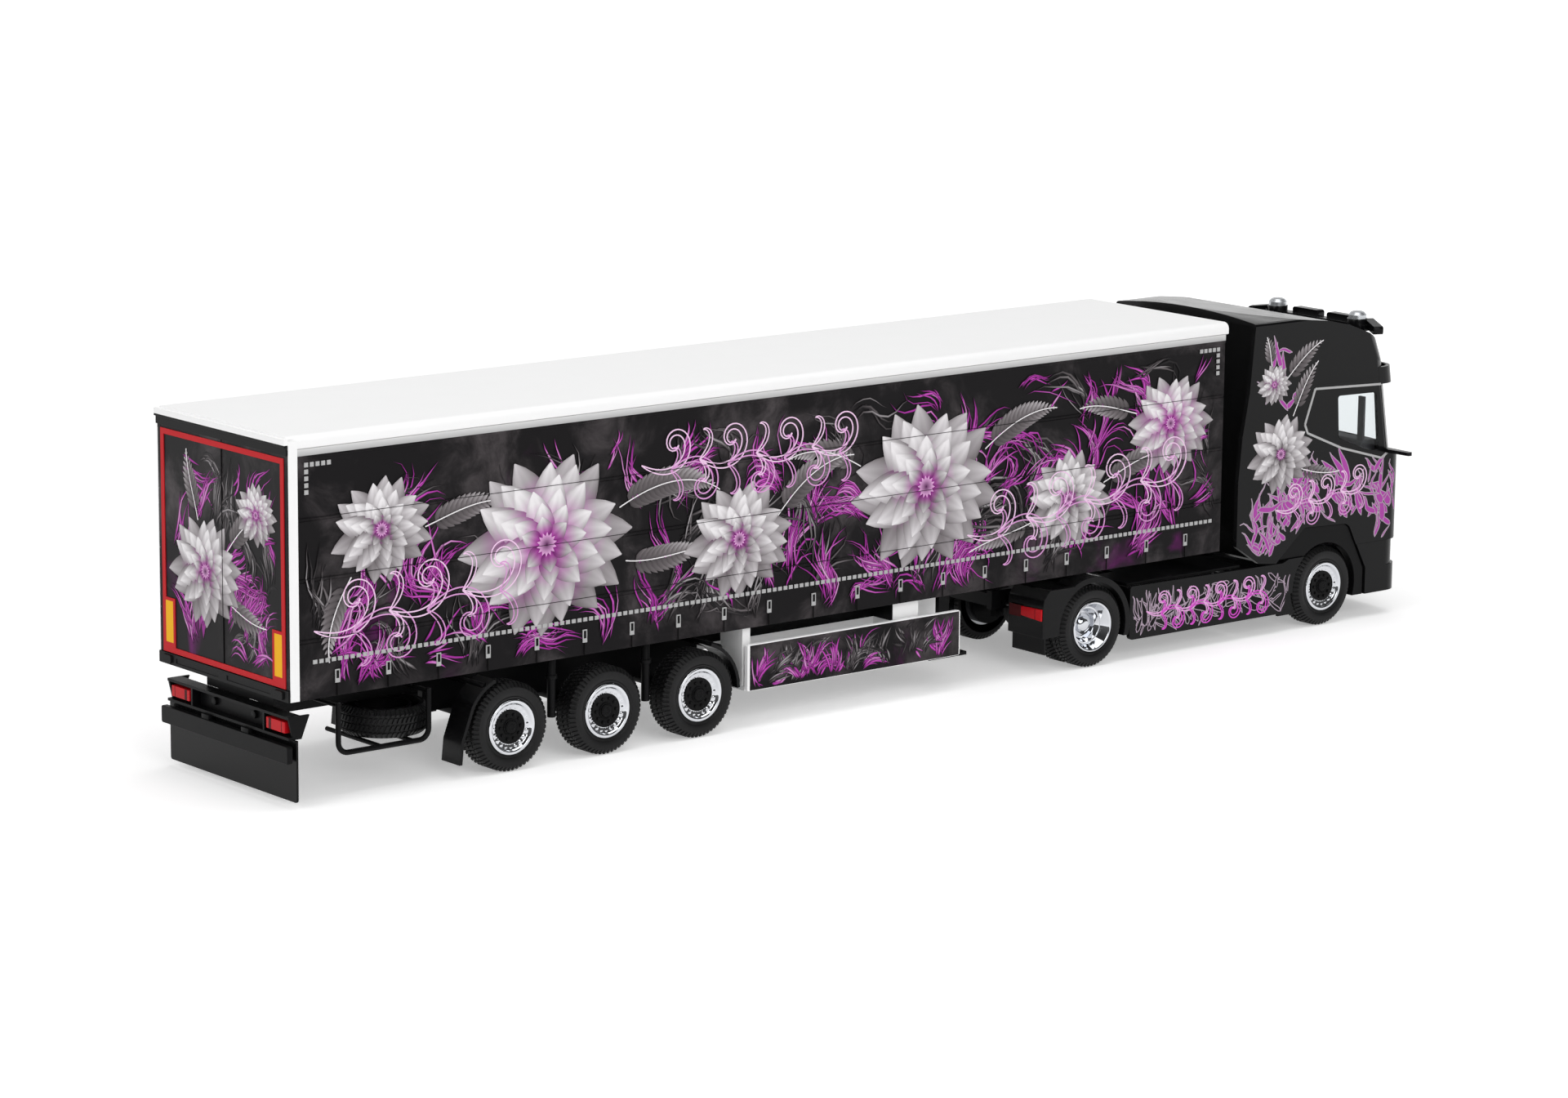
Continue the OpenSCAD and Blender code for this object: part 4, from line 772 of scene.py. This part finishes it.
class Print(Lofted):
    """Inks on one panel. A film is a grid of (u, v) points with a colour each.

    Each stroke and line lies a layer above the one before it; blocks lie side by side in one layer.
    """

    def __init__(self, place):
        super().__init__()
        self.place = place
        self.inks = []
        self.layer = 0

    def film(self, rows, inks):
        """Adds a film: each row is a section across it, closed by two corners sunk into the panel."""
        lift = FILM + LAYER * self.layer
        sections = []
        for row, colours in zip(rows, inks):
            sunk = [self.place(u, v, SUNK) for u, v in (row[-1], row[0])]
            sections.append([self.place(u, v, lift) for u, v in row] + sunk)
            self.inks.extend(list(colours) + [colours[-1], colours[0]])
        self.loft(sections, False)

    def block(self, u0, v0, u1, v1, ink, top_ink=None):
        inks = [[INK[ink]] * 2, [INK[top_ink or ink]] * 2]
        self.film([[(u0, v0), (u1, v0)], [(u0, v1), (u1, v1)]], inks)

    def frame(self, u0, v0, u1, v1, width, ink):
        """A rectangle drawn as four bars inside its outline."""
        self.block(u0, v0, u1, v0 + width, ink)
        self.block(u0, v1 - width, u1, v1, ink)
        self.block(u0, v0 + width, u0 + width, v1 - width, ink)
        self.block(u1 - width, v0 + width, u1, v1 - width, ink)

    def pair(self, inner, v0, outer, v1, ink):
        """A block on each side of the middle."""
        self.block(inner, v0, outer, v1, ink)
        self.block(-outer, v0, -inner, v1, ink)

    def stroke(self, path, widths, colours, across=STROKE_COLUMNS):
        """A brush stroke: colours(s, t) is its ink at s along it and t across it, from -1 to 1."""
        columns = [beside(path, [t * width / 2 for width in widths]) for t in across]
        last = len(path) - 1
        self.film(list(zip(*columns)), [[colours(i / last, t) for t in across] for i in range(len(path))])
        self.layer += 1

    def line(self, path, width, ink):
        """A fine line of even width."""
        self.stroke(path, [width] * len(path), lambda s, t: INK[ink], (-1, 1))

    def piece(self, name, node, slot="printed_black", material=PRINTING_INK):
        mesh = closed_mesh(name, self.points, self.faces)
        colours = mesh.color_attributes.new("ink", "FLOAT_COLOR", "POINT")
        colours.data.foreach_set("color", [channel for ink in self.inks for channel in ink])
        link(name, mesh, node, slot, material)


# Ornaments


def curve(start, heading, length, count, bend):
    """Points of a curve that sets off in a heading; bend(s, u, v) is its bend (1/mm) at s along it."""
    u, v = start
    angle = math.radians(heading)
    step = length / count
    path = [(u, v)]
    for i in range(count):
        angle += step * bend(i / count, u, v)
        u += step * math.cos(angle)
        v += step * math.sin(angle)
        path.append((u, v))
    return path


def bent_path(start, heading, length, bends, count):
    """A curve whose bend changes evenly between the given bends along its length."""
    def bend(s, u, v):
        at = s * (len(bends) - 1)
        k = int(at)
        return bends[k] + (bends[k + 1] - bends[k]) * (at - k)
    return curve(start, heading, length, count, bend)


def disc(print_, middle, radius, colours):
    """A round film, drawn as one broad stroke."""
    offsets = [radius * math.cos(math.pi * i / 10) for i in range(11)]
    path = [(middle[0] - offset, middle[1]) for offset in offsets]
    widths = [2 * math.sqrt(max(radius**2 - offset**2, 0)) + 0.02 for offset in offsets]
    print_.stroke(path, widths, colours)


def petal(print_, base, heading, length, width, bend, colours, count=8, across=PETAL_COLUMNS):
    """A leaf-shaped stroke from its base to its tip."""
    path = bent_path(base, heading, length, (bend, bend), count)
    widths = [width * max(math.sin(math.pi * (i / count) ** 0.75) ** 0.8, 0.03) for i in range(count + 1)]
    print_.stroke(path, widths, colours, across)


# Rings of a blossom, from the outside in: petals, reach and width as shares of its radius, and brightness
BLOSSOM_RINGS = (
    (11, 1.0, 0.46, 0.62),
    (11, 0.88, 0.42, 0.8),
    (10, 0.74, 0.38, 0.92),
    (9, 0.58, 0.32, 1.0),
    (8, 0.42, 0.26, 0.95),
    (6, 0.26, 0.2, 0.8),
)
STAMENS = 14


def stamen_ink(s, t):
    return ramp(("plum", "pink"), s)


def blossom(print_, middle, radius, lean, heart):
    """A full blossom of pointed petals, seen a little from the side; heart is how far its magenta reaches."""
    for ring, (petals, reach, width, light) in enumerate(BLOSSOM_RINGS):
        disc(print_, middle, 0.42 * radius * reach, lambda s, t: blend(INK["grey"], INK["plum"], 0.8 * heart))
        for i in range(petals):
            angle = 360 / petals * (i + 0.5 * (ring % 2)) + lean
            turn = math.radians(angle)
            start = 0.07 * radius
            base = (middle[0] + start * math.cos(turn), middle[1] + 0.9 * start * math.sin(turn))
            foreshortened = 1 - 0.16 * abs(math.sin(turn))
            lit = light * (0.86 + 0.14 * math.cos(turn - math.radians(115)))

            def colours(s, t):
                vein = (0.07 + 0.07 * math.cos(3 * math.pi * t)) * (1.2 - s)
                rim = 0.5 * max(0, abs(t) - 0.6) / 0.4
                value = (0.16 + 1.1 * s ** 0.9 - vein + 0.1 * t) * lit * (1 - rim * (1 - 0.5 * s))
                warm = max(0.0, 1 - s / heart) if heart else 0
                pale = ramp(("shade", "grey", "pale", "white"), value)
                return blend(pale, ramp(("plum", "magenta", "bright", "pink"), value * 1.15), warm)

            bend = (0.25 if i % 2 else -0.25) / radius
            petal(print_, base, angle, radius * reach * foreshortened, radius * width, bend, colours)
    disc(print_, middle, 0.07 * radius, lambda s, t: INK["plum"])
    for i in range(STAMENS):
        angle = 360 / STAMENS * i + lean
        petal(print_, middle, angle, 0.12 * radius, 0.05 * radius, 0, stamen_ink, 3, FINE_COLUMNS)


LEAVES = ("ground", "grey", "pale", "white")


def frond(print_, start, heading, length, bends, leaf):
    """A fern frond: leaflets on both sides of a bent rib, shorter towards its tip."""
    count = max(8, int(length / 0.8))
    path = bent_path(start, heading, length, bends, count)
    for i in range(2, count):
        s = i / count
        du = path[i][0] - path[i - 1][0]
        dv = path[i][1] - path[i - 1][1]
        way = math.degrees(math.atan2(dv, du))
        size = leaf * math.sin(math.pi * (0.12 + 0.88 * s) ** 0.8)
        for side, shade in ((-1, 0.75), (1, 1.0)):
            light = (0.35 + 0.6 * s) * shade

            def colours(at, t):
                return ramp(LEAVES, light * (0.4 + 0.6 * at) * (1 - 0.3 * abs(t)))

            tilt = way + side * (58 - 18 * s)
            petal(print_, path[i], tilt, size, 0.34 * size + 0.08, -side * 0.12, colours, 4, FINE_COLUMNS)
    print_.line(path, 0.14, LEAVES[-1])


def bouquet(print_, fronds, blossoms):
    """Fronds, and blossoms over them."""
    for row in fronds:
        print_.layer = FROND_LAYER
        frond(print_, *row)
    for u, v, radius, lean, heart in blossoms:
        print_.layer = BLOSSOM_LAYER
        blossom(print_, (u, v), radius, lean, heart)


STRAND_STEP = 1.4


def wandering_path(start, heading, length, seed):
    """A filament that wanders as smoke does."""
    def sway(s, u, v):
        return 0.8 * noise.noise((u / 5, v / 5, seed)) + 0.36 * noise.noise((u / 2, v / 2, seed + 9))
    return curve(start, heading, length, max(6, int(length / STRAND_STEP)), sway)


def strand(print_, path, width, glow, inks):
    """A fine airbrushed filament, which fades into the ground at its sides and ends."""
    last = len(path) - 1
    widths = [width * (0.15 + math.sin(math.pi * (i / last) ** 0.7)) for i in range(last + 1)]

    def colours(s, t):
        return ramp(inks, glow * (1 - abs(t)) * math.sin(math.pi * min(s, 0.999)) ** 0.5)

    print_.stroke(path, widths, colours, FINE_COLUMNS)


def plumes(print_, window, count, strands, length, inks, draw):
    """Frayed plumes of fine strands in a window (u0, v0, u1, v1): most rise, and most are at its foot."""
    u0, v0, u1, v1 = window
    for i in range(count):
        start = (draw.uniform(u0, u1), v0 + (v1 - v0) * draw.random() ** 1.5)
        heading = draw.gauss(75, 40)
        seed = draw.uniform(0, 50)
        for _ in range(strands):
            root = (draw.gauss(start[0], 0.06 * length), draw.gauss(start[1], 0.1 * length))
            path = wandering_path(root, draw.gauss(heading, 10), length * draw.uniform(0.3, 1), seed)
            width = draw.uniform(0.14, 0.42)
            glow = draw.uniform(0.35, 1)
            if all(u0 + width < u < u1 - width and v0 + width < v < v1 - width for u, v in path):
                print_.layer %= PLUME_LAYERS
                strand(print_, path, width, glow, inks)


def brush_width(s):
    """Width of a pinstripe brush along its stroke, as a share of the full width: pointed at both ends."""
    return abs(math.sin(math.pi * s)) ** 0.7


def flame_width(s):
    """Width of a flame along its length: full near its foot, with a long thin tip."""
    return 1.9 * s**0.4 * max(1 - s, 0) ** 1.1


def outlined(print_, path, thick, swell, width, ink):
    """A swelling stroke drawn as its two edges, which meet at both ends."""
    last = len(path) - 1
    for side in (1, -1):
        half = [side * thick / 2 * swell(i / last) for i in range(last + 1)]
        print_.line(beside(path, half), width, ink)


FLAME_ROWS = 8


def licks(print_, covers, window, count, fill, edge, draw):
    """Flat flames in outlines, more of them at the foot of the window, where the panel covers them whole."""
    u0, v0, u1, v1 = window
    for _ in range(count):
        start = (draw.uniform(u0, u1), v0 + (v1 - v0) * draw.random() ** 1.6)
        bend = draw.gauss(0, 0.5)
        heading = draw.gauss(90, 40)
        length = draw.uniform(2.0, 6.5)
        path = bent_path(start, heading, length, (bend, -bend, 2 * bend), FLAME_ROWS)
        thick = draw.uniform(0.3, 1.5)
        rim = ((thick, 0), (-thick, 0), (0, thick), (0, -thick))
        if all(covers(u + du, v + dv) for u, v in path for du, dv in rim):
            print_.layer %= PLUME_LAYERS
            widths = [thick * flame_width(i / FLAME_ROWS) + 0.02 for i in range(FLAME_ROWS + 1)]
            print_.stroke(path, widths, lambda s, t: INK[fill], (-1, 1))
            outlined(print_, path, thick, flame_width, 0.12, edge)


# A running scroll: each volute is a spiral, and the next springs from its back and turns the other way
VOLUTE_LENGTH = 3.1
VOLUTE_BENDS = (0.35, 1.1, 2.0, 3.6, 7.0)
VOLUTE_POINTS = 41
TENDRIL_POINTS = 20
SPRING_POINT = 12
# Each volute sets off this many degrees to one side of the scroll's run and curls to the other
SET_OFF = 30
# Tendrils from the same point: turn away from the stem, length and bends as shares of the volute's size
TENDRILS = (
    (34, 1.0, (-0.6, -2.0, -7.0)),
    (-30, 0.75, (1.0, 3.0, 9.0)),
)


def running_scroll(print_, start, run, size, count, inks):
    """A pinstripe vine of count volutes, drawn as the outlines of swelling brush strokes."""
    side = 1
    for i in range(count):
        bends = [side * bend / size for bend in VOLUTE_BENDS]
        path = bent_path(start, run - side * SET_OFF, VOLUTE_LENGTH * size, bends, VOLUTE_POINTS)
        outlined(print_, path, 0.16 * size, brush_width, 0.16, inks[i % len(inks)])
        start = path[SPRING_POINT]
        for turn, length, bends in TENDRILS:
            bends = [side * bend / size for bend in bends]
            tendril = bent_path(start, run - side * turn, length * size, bends, TENDRIL_POINTS)
            outlined(print_, tendril, 0.1 * size, brush_width, 0.14, inks[(i + 1) % len(inks)])
        side = -side


# Printed panels

# Places on a curtain: rail strip, bare rear edge, reflecting dashes, corner angles, straps and seams
RAIL_STRIP = (43.72, 44.56)
BARE_WIDTH = 1.3
BARE_TOP = 45.6
DASH_ROW = (17.95, 18.45)
DASH_START = 3.3
DASH_PITCH = 0.91
DASH_LENGTH = 0.6
ANGLE_ROW = (42.3, 42.85)
ANGLE_ENDS = ((2.3, 1), (BOX_LENGTH - 1.2, -1))
ANGLE_PITCH = 0.82
ANGLE_DROP = 0.84
ANGLE_LENGTH = 0.54
STRAPS = 20
STRAP_START = 6.85
STRAP_PITCH = 7.53
# A strap, its buckle and, a layer above, the buckle's window: half width, lower and upper edge, and ink
STRAP_PARTS = (
    (0.05, CURTAIN_LOW + 0.06, 15.2, "shade"),
    (0.335, 15.22, 16.88, "silver"),
    (0.2, 15.75, 16.74, "shade"),
)
SEAMS = (21.0, 28.5, 36.0)


def curtain_markings(print_):
    """All plain markings of a curtain."""
    print_.layer = MARKING_LAYER
    # The rail strip is silver ink, lightening towards its top as a painted highlight
    print_.block(BARE_WIDTH, RAIL_STRIP[0], BOX_LENGTH - 0.12, RAIL_STRIP[1], "silver", "silver highlight")
    print_.block(0.02, CURTAIN_LOW + 0.05, BARE_WIDTH, BARE_TOP, "bare")
    for i in range(int((BOX_LENGTH - 4.2) / DASH_PITCH)):
        at = DASH_START + i * DASH_PITCH
        print_.block(at, DASH_ROW[0], at + DASH_LENGTH, DASH_ROW[1], "silver")
    low, high = ANGLE_ROW
    for corner, way in ANGLE_ENDS:
        for i in range(5):
            along = i * ANGLE_PITCH
            left, right = sorted((corner + way * along, corner + way * (along + ANGLE_LENGTH)))
            print_.block(left, low, right, high, "silver")
        left, right = sorted((corner, corner + way * ANGLE_LENGTH))
        for i in range(1, 5):
            print_.block(left, low - i * ANGLE_DROP, right, high - i * ANGLE_DROP, "silver")
    for i in range(STRAPS):
        at = STRAP_START + i * STRAP_PITCH
        for step, (half, low, high, ink) in enumerate(STRAP_PARTS):
            print_.layer = MARKING_LAYER + step // 2
            print_.block(at - half, low, at + half, high, ink)
    print_.layer = MARKING_LAYER
    for v in SEAMS:
        print_.line([(1.4, v), (BOX_LENGTH - 0.3, v)], 0.06, "shade")


# Blossoms of a curtain: place along it and up, radius, lean and reach of the magenta heart
CURTAIN_BLOSSOMS = (
    (13.5, 33.4, 7.4, 25, 0.5),
    (38.5, 28.6, 13.0, 10, 0.75),
    (69.5, 25.6, 8.6, 14, 0.55),
    (101.5, 29.0, 12.6, -6, 0.6),
    (127.5, 24.4, 7.6, 32, 0.5),
    (146.5, 33.0, 7.8, 5, 0.8),
)
# Fronds round them: start, heading, length, bends and length of a leaflet
CURTAIN_FRONDS = (
    ((20, 33), 15, 12, (0.02, -0.09), 2.6),
    ((9, 28), 235, 11, (0.02, 0.12), 2.4),
    ((50, 32), 25, 17, (-0.02, -0.1), 3.2),
    ((51, 25), -12, 13, (0.06, -0.02), 2.8),
    ((76, 28), 48, 15, (-0.02, -0.1), 3.0),
    ((90, 33), 150, 13, (0.02, 0.12), 2.6),
    ((112, 33), 35, 14, (-0.02, -0.08), 3.0),
    ((134, 26), 20, 16, (0.02, -0.12), 2.6),
    ((121, 22), 200, 12, (-0.05, 0.06), 2.2),
    ((140, 35), 165, 11, (-0.02, 0.1), 2.4),
)
# Pinstripe vines: start, run, size of a volute and how many
CURTAIN_SCROLLS = (
    ((3.5, 22.0), 6, 6.4, 5),
    ((53.5, 37.0), -1, 5.4, 7),
    ((109.0, 21.5), 7, 6.2, 7),
)
SMOKES = ("ground", "ground", "grey", "pale")
FLAMES = ("ground", "magenta", "bright", "pink")
PALE_VINE = ("blush", "rose")


def print_curtain(side):
    """A curtain: blossoms and pinstripe vines over smoke and flames, with its straps and markings."""
    node = "curtain_" + SIDES[side]
    place = side_panel(BOX_HALF, side)
    draw = random.Random(11)
    haze = Print(place)
    window = (2.0, CURTAIN_LOW + 0.4, BOX_LENGTH - 1.0, 42.6)
    plumes(haze, window, 40, 16, 12, SMOKES, draw)
    plumes(haze, window, 95, 14, 10, FLAMES, draw)
    haze.piece(node + "_flames", node)
    flowers = Print(place)
    bouquet(flowers, CURTAIN_FRONDS, CURTAIN_BLOSSOMS)
    flowers.piece(node + "_blossoms", node)
    lines = Print(place)
    for scroll in CURTAIN_SCROLLS:
        lines.layer = SCROLL_LAYER
        running_scroll(lines, *scroll, PALE_VINE)
    curtain_markings(lines)
    lines.piece(node + "_markings", node)


# Blossoms and fronds of the doors, given as those of a curtain
DOOR_BLOSSOMS = (
    (-3.9, 26.8, 7.9, 15, 0.6),
    (7.6, 35.6, 4.4, 40, 0.7),
)
DOOR_FRONDS = (
    ((1.0, 30), 48, 12, (-0.02, -0.1), 2.6),
    ((0.5, 24), -25, 9.5, (0.02, 0.08), 2.4),
    ((-5.5, 33), 105, 9, (0.05, -0.1), 2.2),
)
# Where the flames of the doors may reach, and their border: left, foot, right and top
DOOR_WINDOW = (-12.6, 16.2, 12.6, 42.4)
DOOR_BORDER = (-13.8, 15.1, 13.8, 43.5)
BORDER_WIDTH = 0.72
# Marker plates at the border's feet: inner edge, foot, outer edge and top
MARKER_GROUND = (11, 15.82, 13.08, 22.1)
MARKER_PLATE = (11.45, 16.4, 13.1, 21.7)


def print_doors():
    """The doors: blossoms and flames inside a red border, with yellow marker plates at its feet."""
    inks = Print(rear_panel(box_mm("rear_doors")[0][0]))
    draw = random.Random(5)
    plumes(inks, DOOR_WINDOW, 12, 14, 9, SMOKES, draw)
    plumes(inks, DOOR_WINDOW, 26, 14, 8, FLAMES, draw)
    bouquet(inks, DOOR_FRONDS, DOOR_BLOSSOMS)
    inks.layer = MARKING_LAYER
    inks.frame(*DOOR_BORDER, BORDER_WIDTH, "red")
    inks.pair(*MARKER_GROUND, "red")
    inks.line([(0, 15.9), (0, 42.7)], 0.09, "shade")
    inks.pair(*MARKER_PLATE, "yellow")
    inks.piece("rear_doors_print", "rear_doors")


# The white edge of the roof shows above the rear frame's header from this height
HEADER_TOP = 45.2


def edge_header():
    """The white edge on the rear, the top and the ends of the header."""
    low, high = box_mm("rear_frame")
    rear = Print(rear_panel(low[0]))
    rear.block(-high[1], HEADER_TOP, high[1], high[2], "bare")
    rear.piece("roof_edge_rear", "rear_frame", "white_abs")
    top = Print(top_panel(high[2]))
    top.block(low[0] - TAIL, -high[1], high[0] - TAIL, high[1], "bare")
    top.piece("roof_edge_top", "rear_frame", "white_abs")
    for side, name in SIDES.items():
        end = Print(side_panel(high[1], side))
        end.block(low[0] - TAIL, HEADER_TOP, 0.02, high[2], "bare")
        end.piece("roof_edge_" + name, "rear_frame", "white_abs")


# Dark partitions of the tail lamps: node, and spans across the lorry
LAMP_PARTITIONS = (
    ("trailer_tail_lamps", ((9.25, 9.8), (12.0, 12.12))),
    ("tractor_tail_lamps", ((8.0, 10.4), (13.2, 13.3))),
)


def part_lamps(node, spans):
    """Dark films across the tail lamps of both sides."""
    low, high = box_mm(node)
    inks = Print(rear_panel(low[0]))
    for inner, outer in spans:
        inks.pair(inner, low[2] + 0.02, outer, high[2] - 0.02, "garnet")
    inks.piece(node + "_partitions", node, "red_lens")


PALLET_PRINT_TOP = 11.16
# Bare edges of a pallet box's face: rear, front and foot
PALLET_EDGES = (0.42, 0.16, 0.06)
# Painted shade in the opening above its back wall, as dark films: depths of the opening's back and mouth,
# lower edge, rear end and share of the length
GAP_SHADE_DEPTH = 5.1
GAP_SHADE_MOUTH = 1.15
GAP_SHADE_LOW = 11.0
GAP_SHADE_REAR = 1.35
GAP_SHADE_SHARE = 0.7


def print_pallet_box(side):
    """The printed face of a pallet box, framed by its bare white edges, and painted shade behind it: dark
    films where the opening above its back wall lies in shadow.
    """
    node = "pallet_boxes"
    low, high = box_mm(node)
    u0 = low[0] - TAIL + PALLET_EDGES[0]
    u1 = high[0] - TAIL - PALLET_EDGES[1]
    v0 = low[2] + PALLET_EDGES[2]
    name = SIDES[side]
    ground = Print(side_panel(high[1], side))
    ground.block(u0, v0, u1, PALLET_PRINT_TOP, "ground")
    ground.piece("pallet_box_print_" + name, node, "printed_black", MATERIALS["printed_black"])
    inks = Print(side_panel(high[1] + FILM, side))
    draw = random.Random(21)
    window = (u0, v0, u1, PALLET_PRINT_TOP)
    plumes(inks, window, 40, 12, 5, SMOKES, draw)
    plumes(inks, window, 24, 14, 5, FLAMES, draw)
    inks.piece("pallet_box_flames_" + name, node)
    # A dark film on the back wall: painted shade where the opening above it lies in shadow
    gap_shade = Print(side_panel(high[1] - GAP_SHADE_DEPTH, side))
    front = low[0] - TAIL + GAP_SHADE_SHARE * (high[0] - low[0])
    gap_shade.block(low[0] - TAIL + GAP_SHADE_REAR, GAP_SHADE_LOW, front, high[2] - 0.05, "shade")
    gap_shade.piece("pallet_box_painted_shade_" + name, node, "black_abs", MATERIALS["black_abs"])
    # A dark film on the hanger's rear face: painted shade at the opening's front end
    end = Print(rear_panel(TAIL + front))
    left, right = sorted((-side * (high[1] - GAP_SHADE_DEPTH), -side * (high[1] - GAP_SHADE_MOUTH)))
    end.block(left, GAP_SHADE_LOW, right, high[2] - 0.05, "shade")
    end.piece("pallet_box_painted_shade_end_" + name, node, "black_abs", MATERIALS["black_abs"])


# The silver edge of a side window, as corners from the rear top round to the rear
WINDOW_EDGE = (
    (175.3, 35.0), (189.2, 34.4), (190.9, 24.3), (189.4, 23.5), (181.1, 25.8), (174.0, 28.7), (173.4, 30.0)
)


def straight_path(start, end, step):
    """Points spaced by about step on a straight line."""
    count = max(1, int(math.dist(start, end) / step))
    return [blend(start, end, i / count) for i in range(count + 1)]


# The cab's blossoms, fronds and scroll, given as those of a curtain, and windows with how many flames to
# try in each
CAB_BLOSSOMS = (
    (168.7, 26.2, 6.4, 20, 0.35),
    (167.0, 36.4, 3.3, 5, 0.6),
)
CAB_FLAMES = (
    ((162.5, 10.6, 177.0, 21.0), 110),
    ((176.0, 15.0, 194.0, 22.5), 45),
    ((188.0, 11.0, 195.0, 20.0), 40),
    ((163.5, 31.0, 172.0, 41.0), 14),
)
CAB_FRONDS = (
    ((169.0, 36.5), 40, 9.5, (0.02, -0.1), 2.2),
    ((171.0, 31.5), 62, 9.0, (0.02, -0.1), 2.0),
    ((166.5, 38.5), 100, 5.0, (-0.02, 0.12), 1.6),
    ((172.0, 24.0), -20, 9.0, (0.02, 0.08), 1.8),
)
CAB_SCROLL = ((168.0, 18.2), 6, 3.8, 5)


def print_cab(side):
    """The cab's side: a blossom with fronds behind the window, flames at the foot, and a pinstripe scroll."""
    place, covers = draped_panel(("cab_shell", "cab_roof"), side)
    inks = Print(place)
    draw = random.Random(3)
    for window, count in CAB_FLAMES:
        licks(inks, covers, window, count, "mauve", "lilac", draw)
    bouquet(inks, CAB_FRONDS, CAB_BLOSSOMS)
    inks.layer = SCROLL_LAYER
    running_scroll(inks, *CAB_SCROLL, PALE_VINE)
    inks.layer = MARKING_LAYER
    for start, end in zip(WINDOW_EDGE, WINDOW_EDGE[1:] + WINDOW_EDGE[:1]):
        inks.line(straight_path(start, end, 0.5), 0.32, "silver")
    inks.piece("cab_print_" + SIDES[side], "cab_shell")


# A skirt's flames and scroll, given as those of the cab
SKIRT_FLAMES = (
    ((140.0, 2.9, 170.0, 10.0), 240),
    ((140.6, 2.9, 144.5, 9.0), 70),
)
SKIRT_SCROLL = ((143.0, 6.6), 0, 3.2, 8)


def print_skirt(side):
    """The skirt between the tractor's wheels: a pinstripe vine over grey flames in outlines."""
    place, covers = draped_panel(("side_skirts",), side)
    inks = Print(place)
    draw = random.Random(8)
    for window, count in SKIRT_FLAMES:
        licks(inks, covers, window, count, "shade", "lilac", draw)
    inks.layer = SCROLL_LAYER
    running_scroll(inks, *SKIRT_SCROLL, ("pink", "bright"))
    inks.piece("skirt_print_" + SIDES[side], "side_skirts")


print_doors()
edge_header()
for lamp, partitions in LAMP_PARTITIONS:
    part_lamps(lamp, partitions)
for side in SIDES:
    print_curtain(side)
    print_pallet_box(side)
    print_cab(side)
    print_skirt(side)
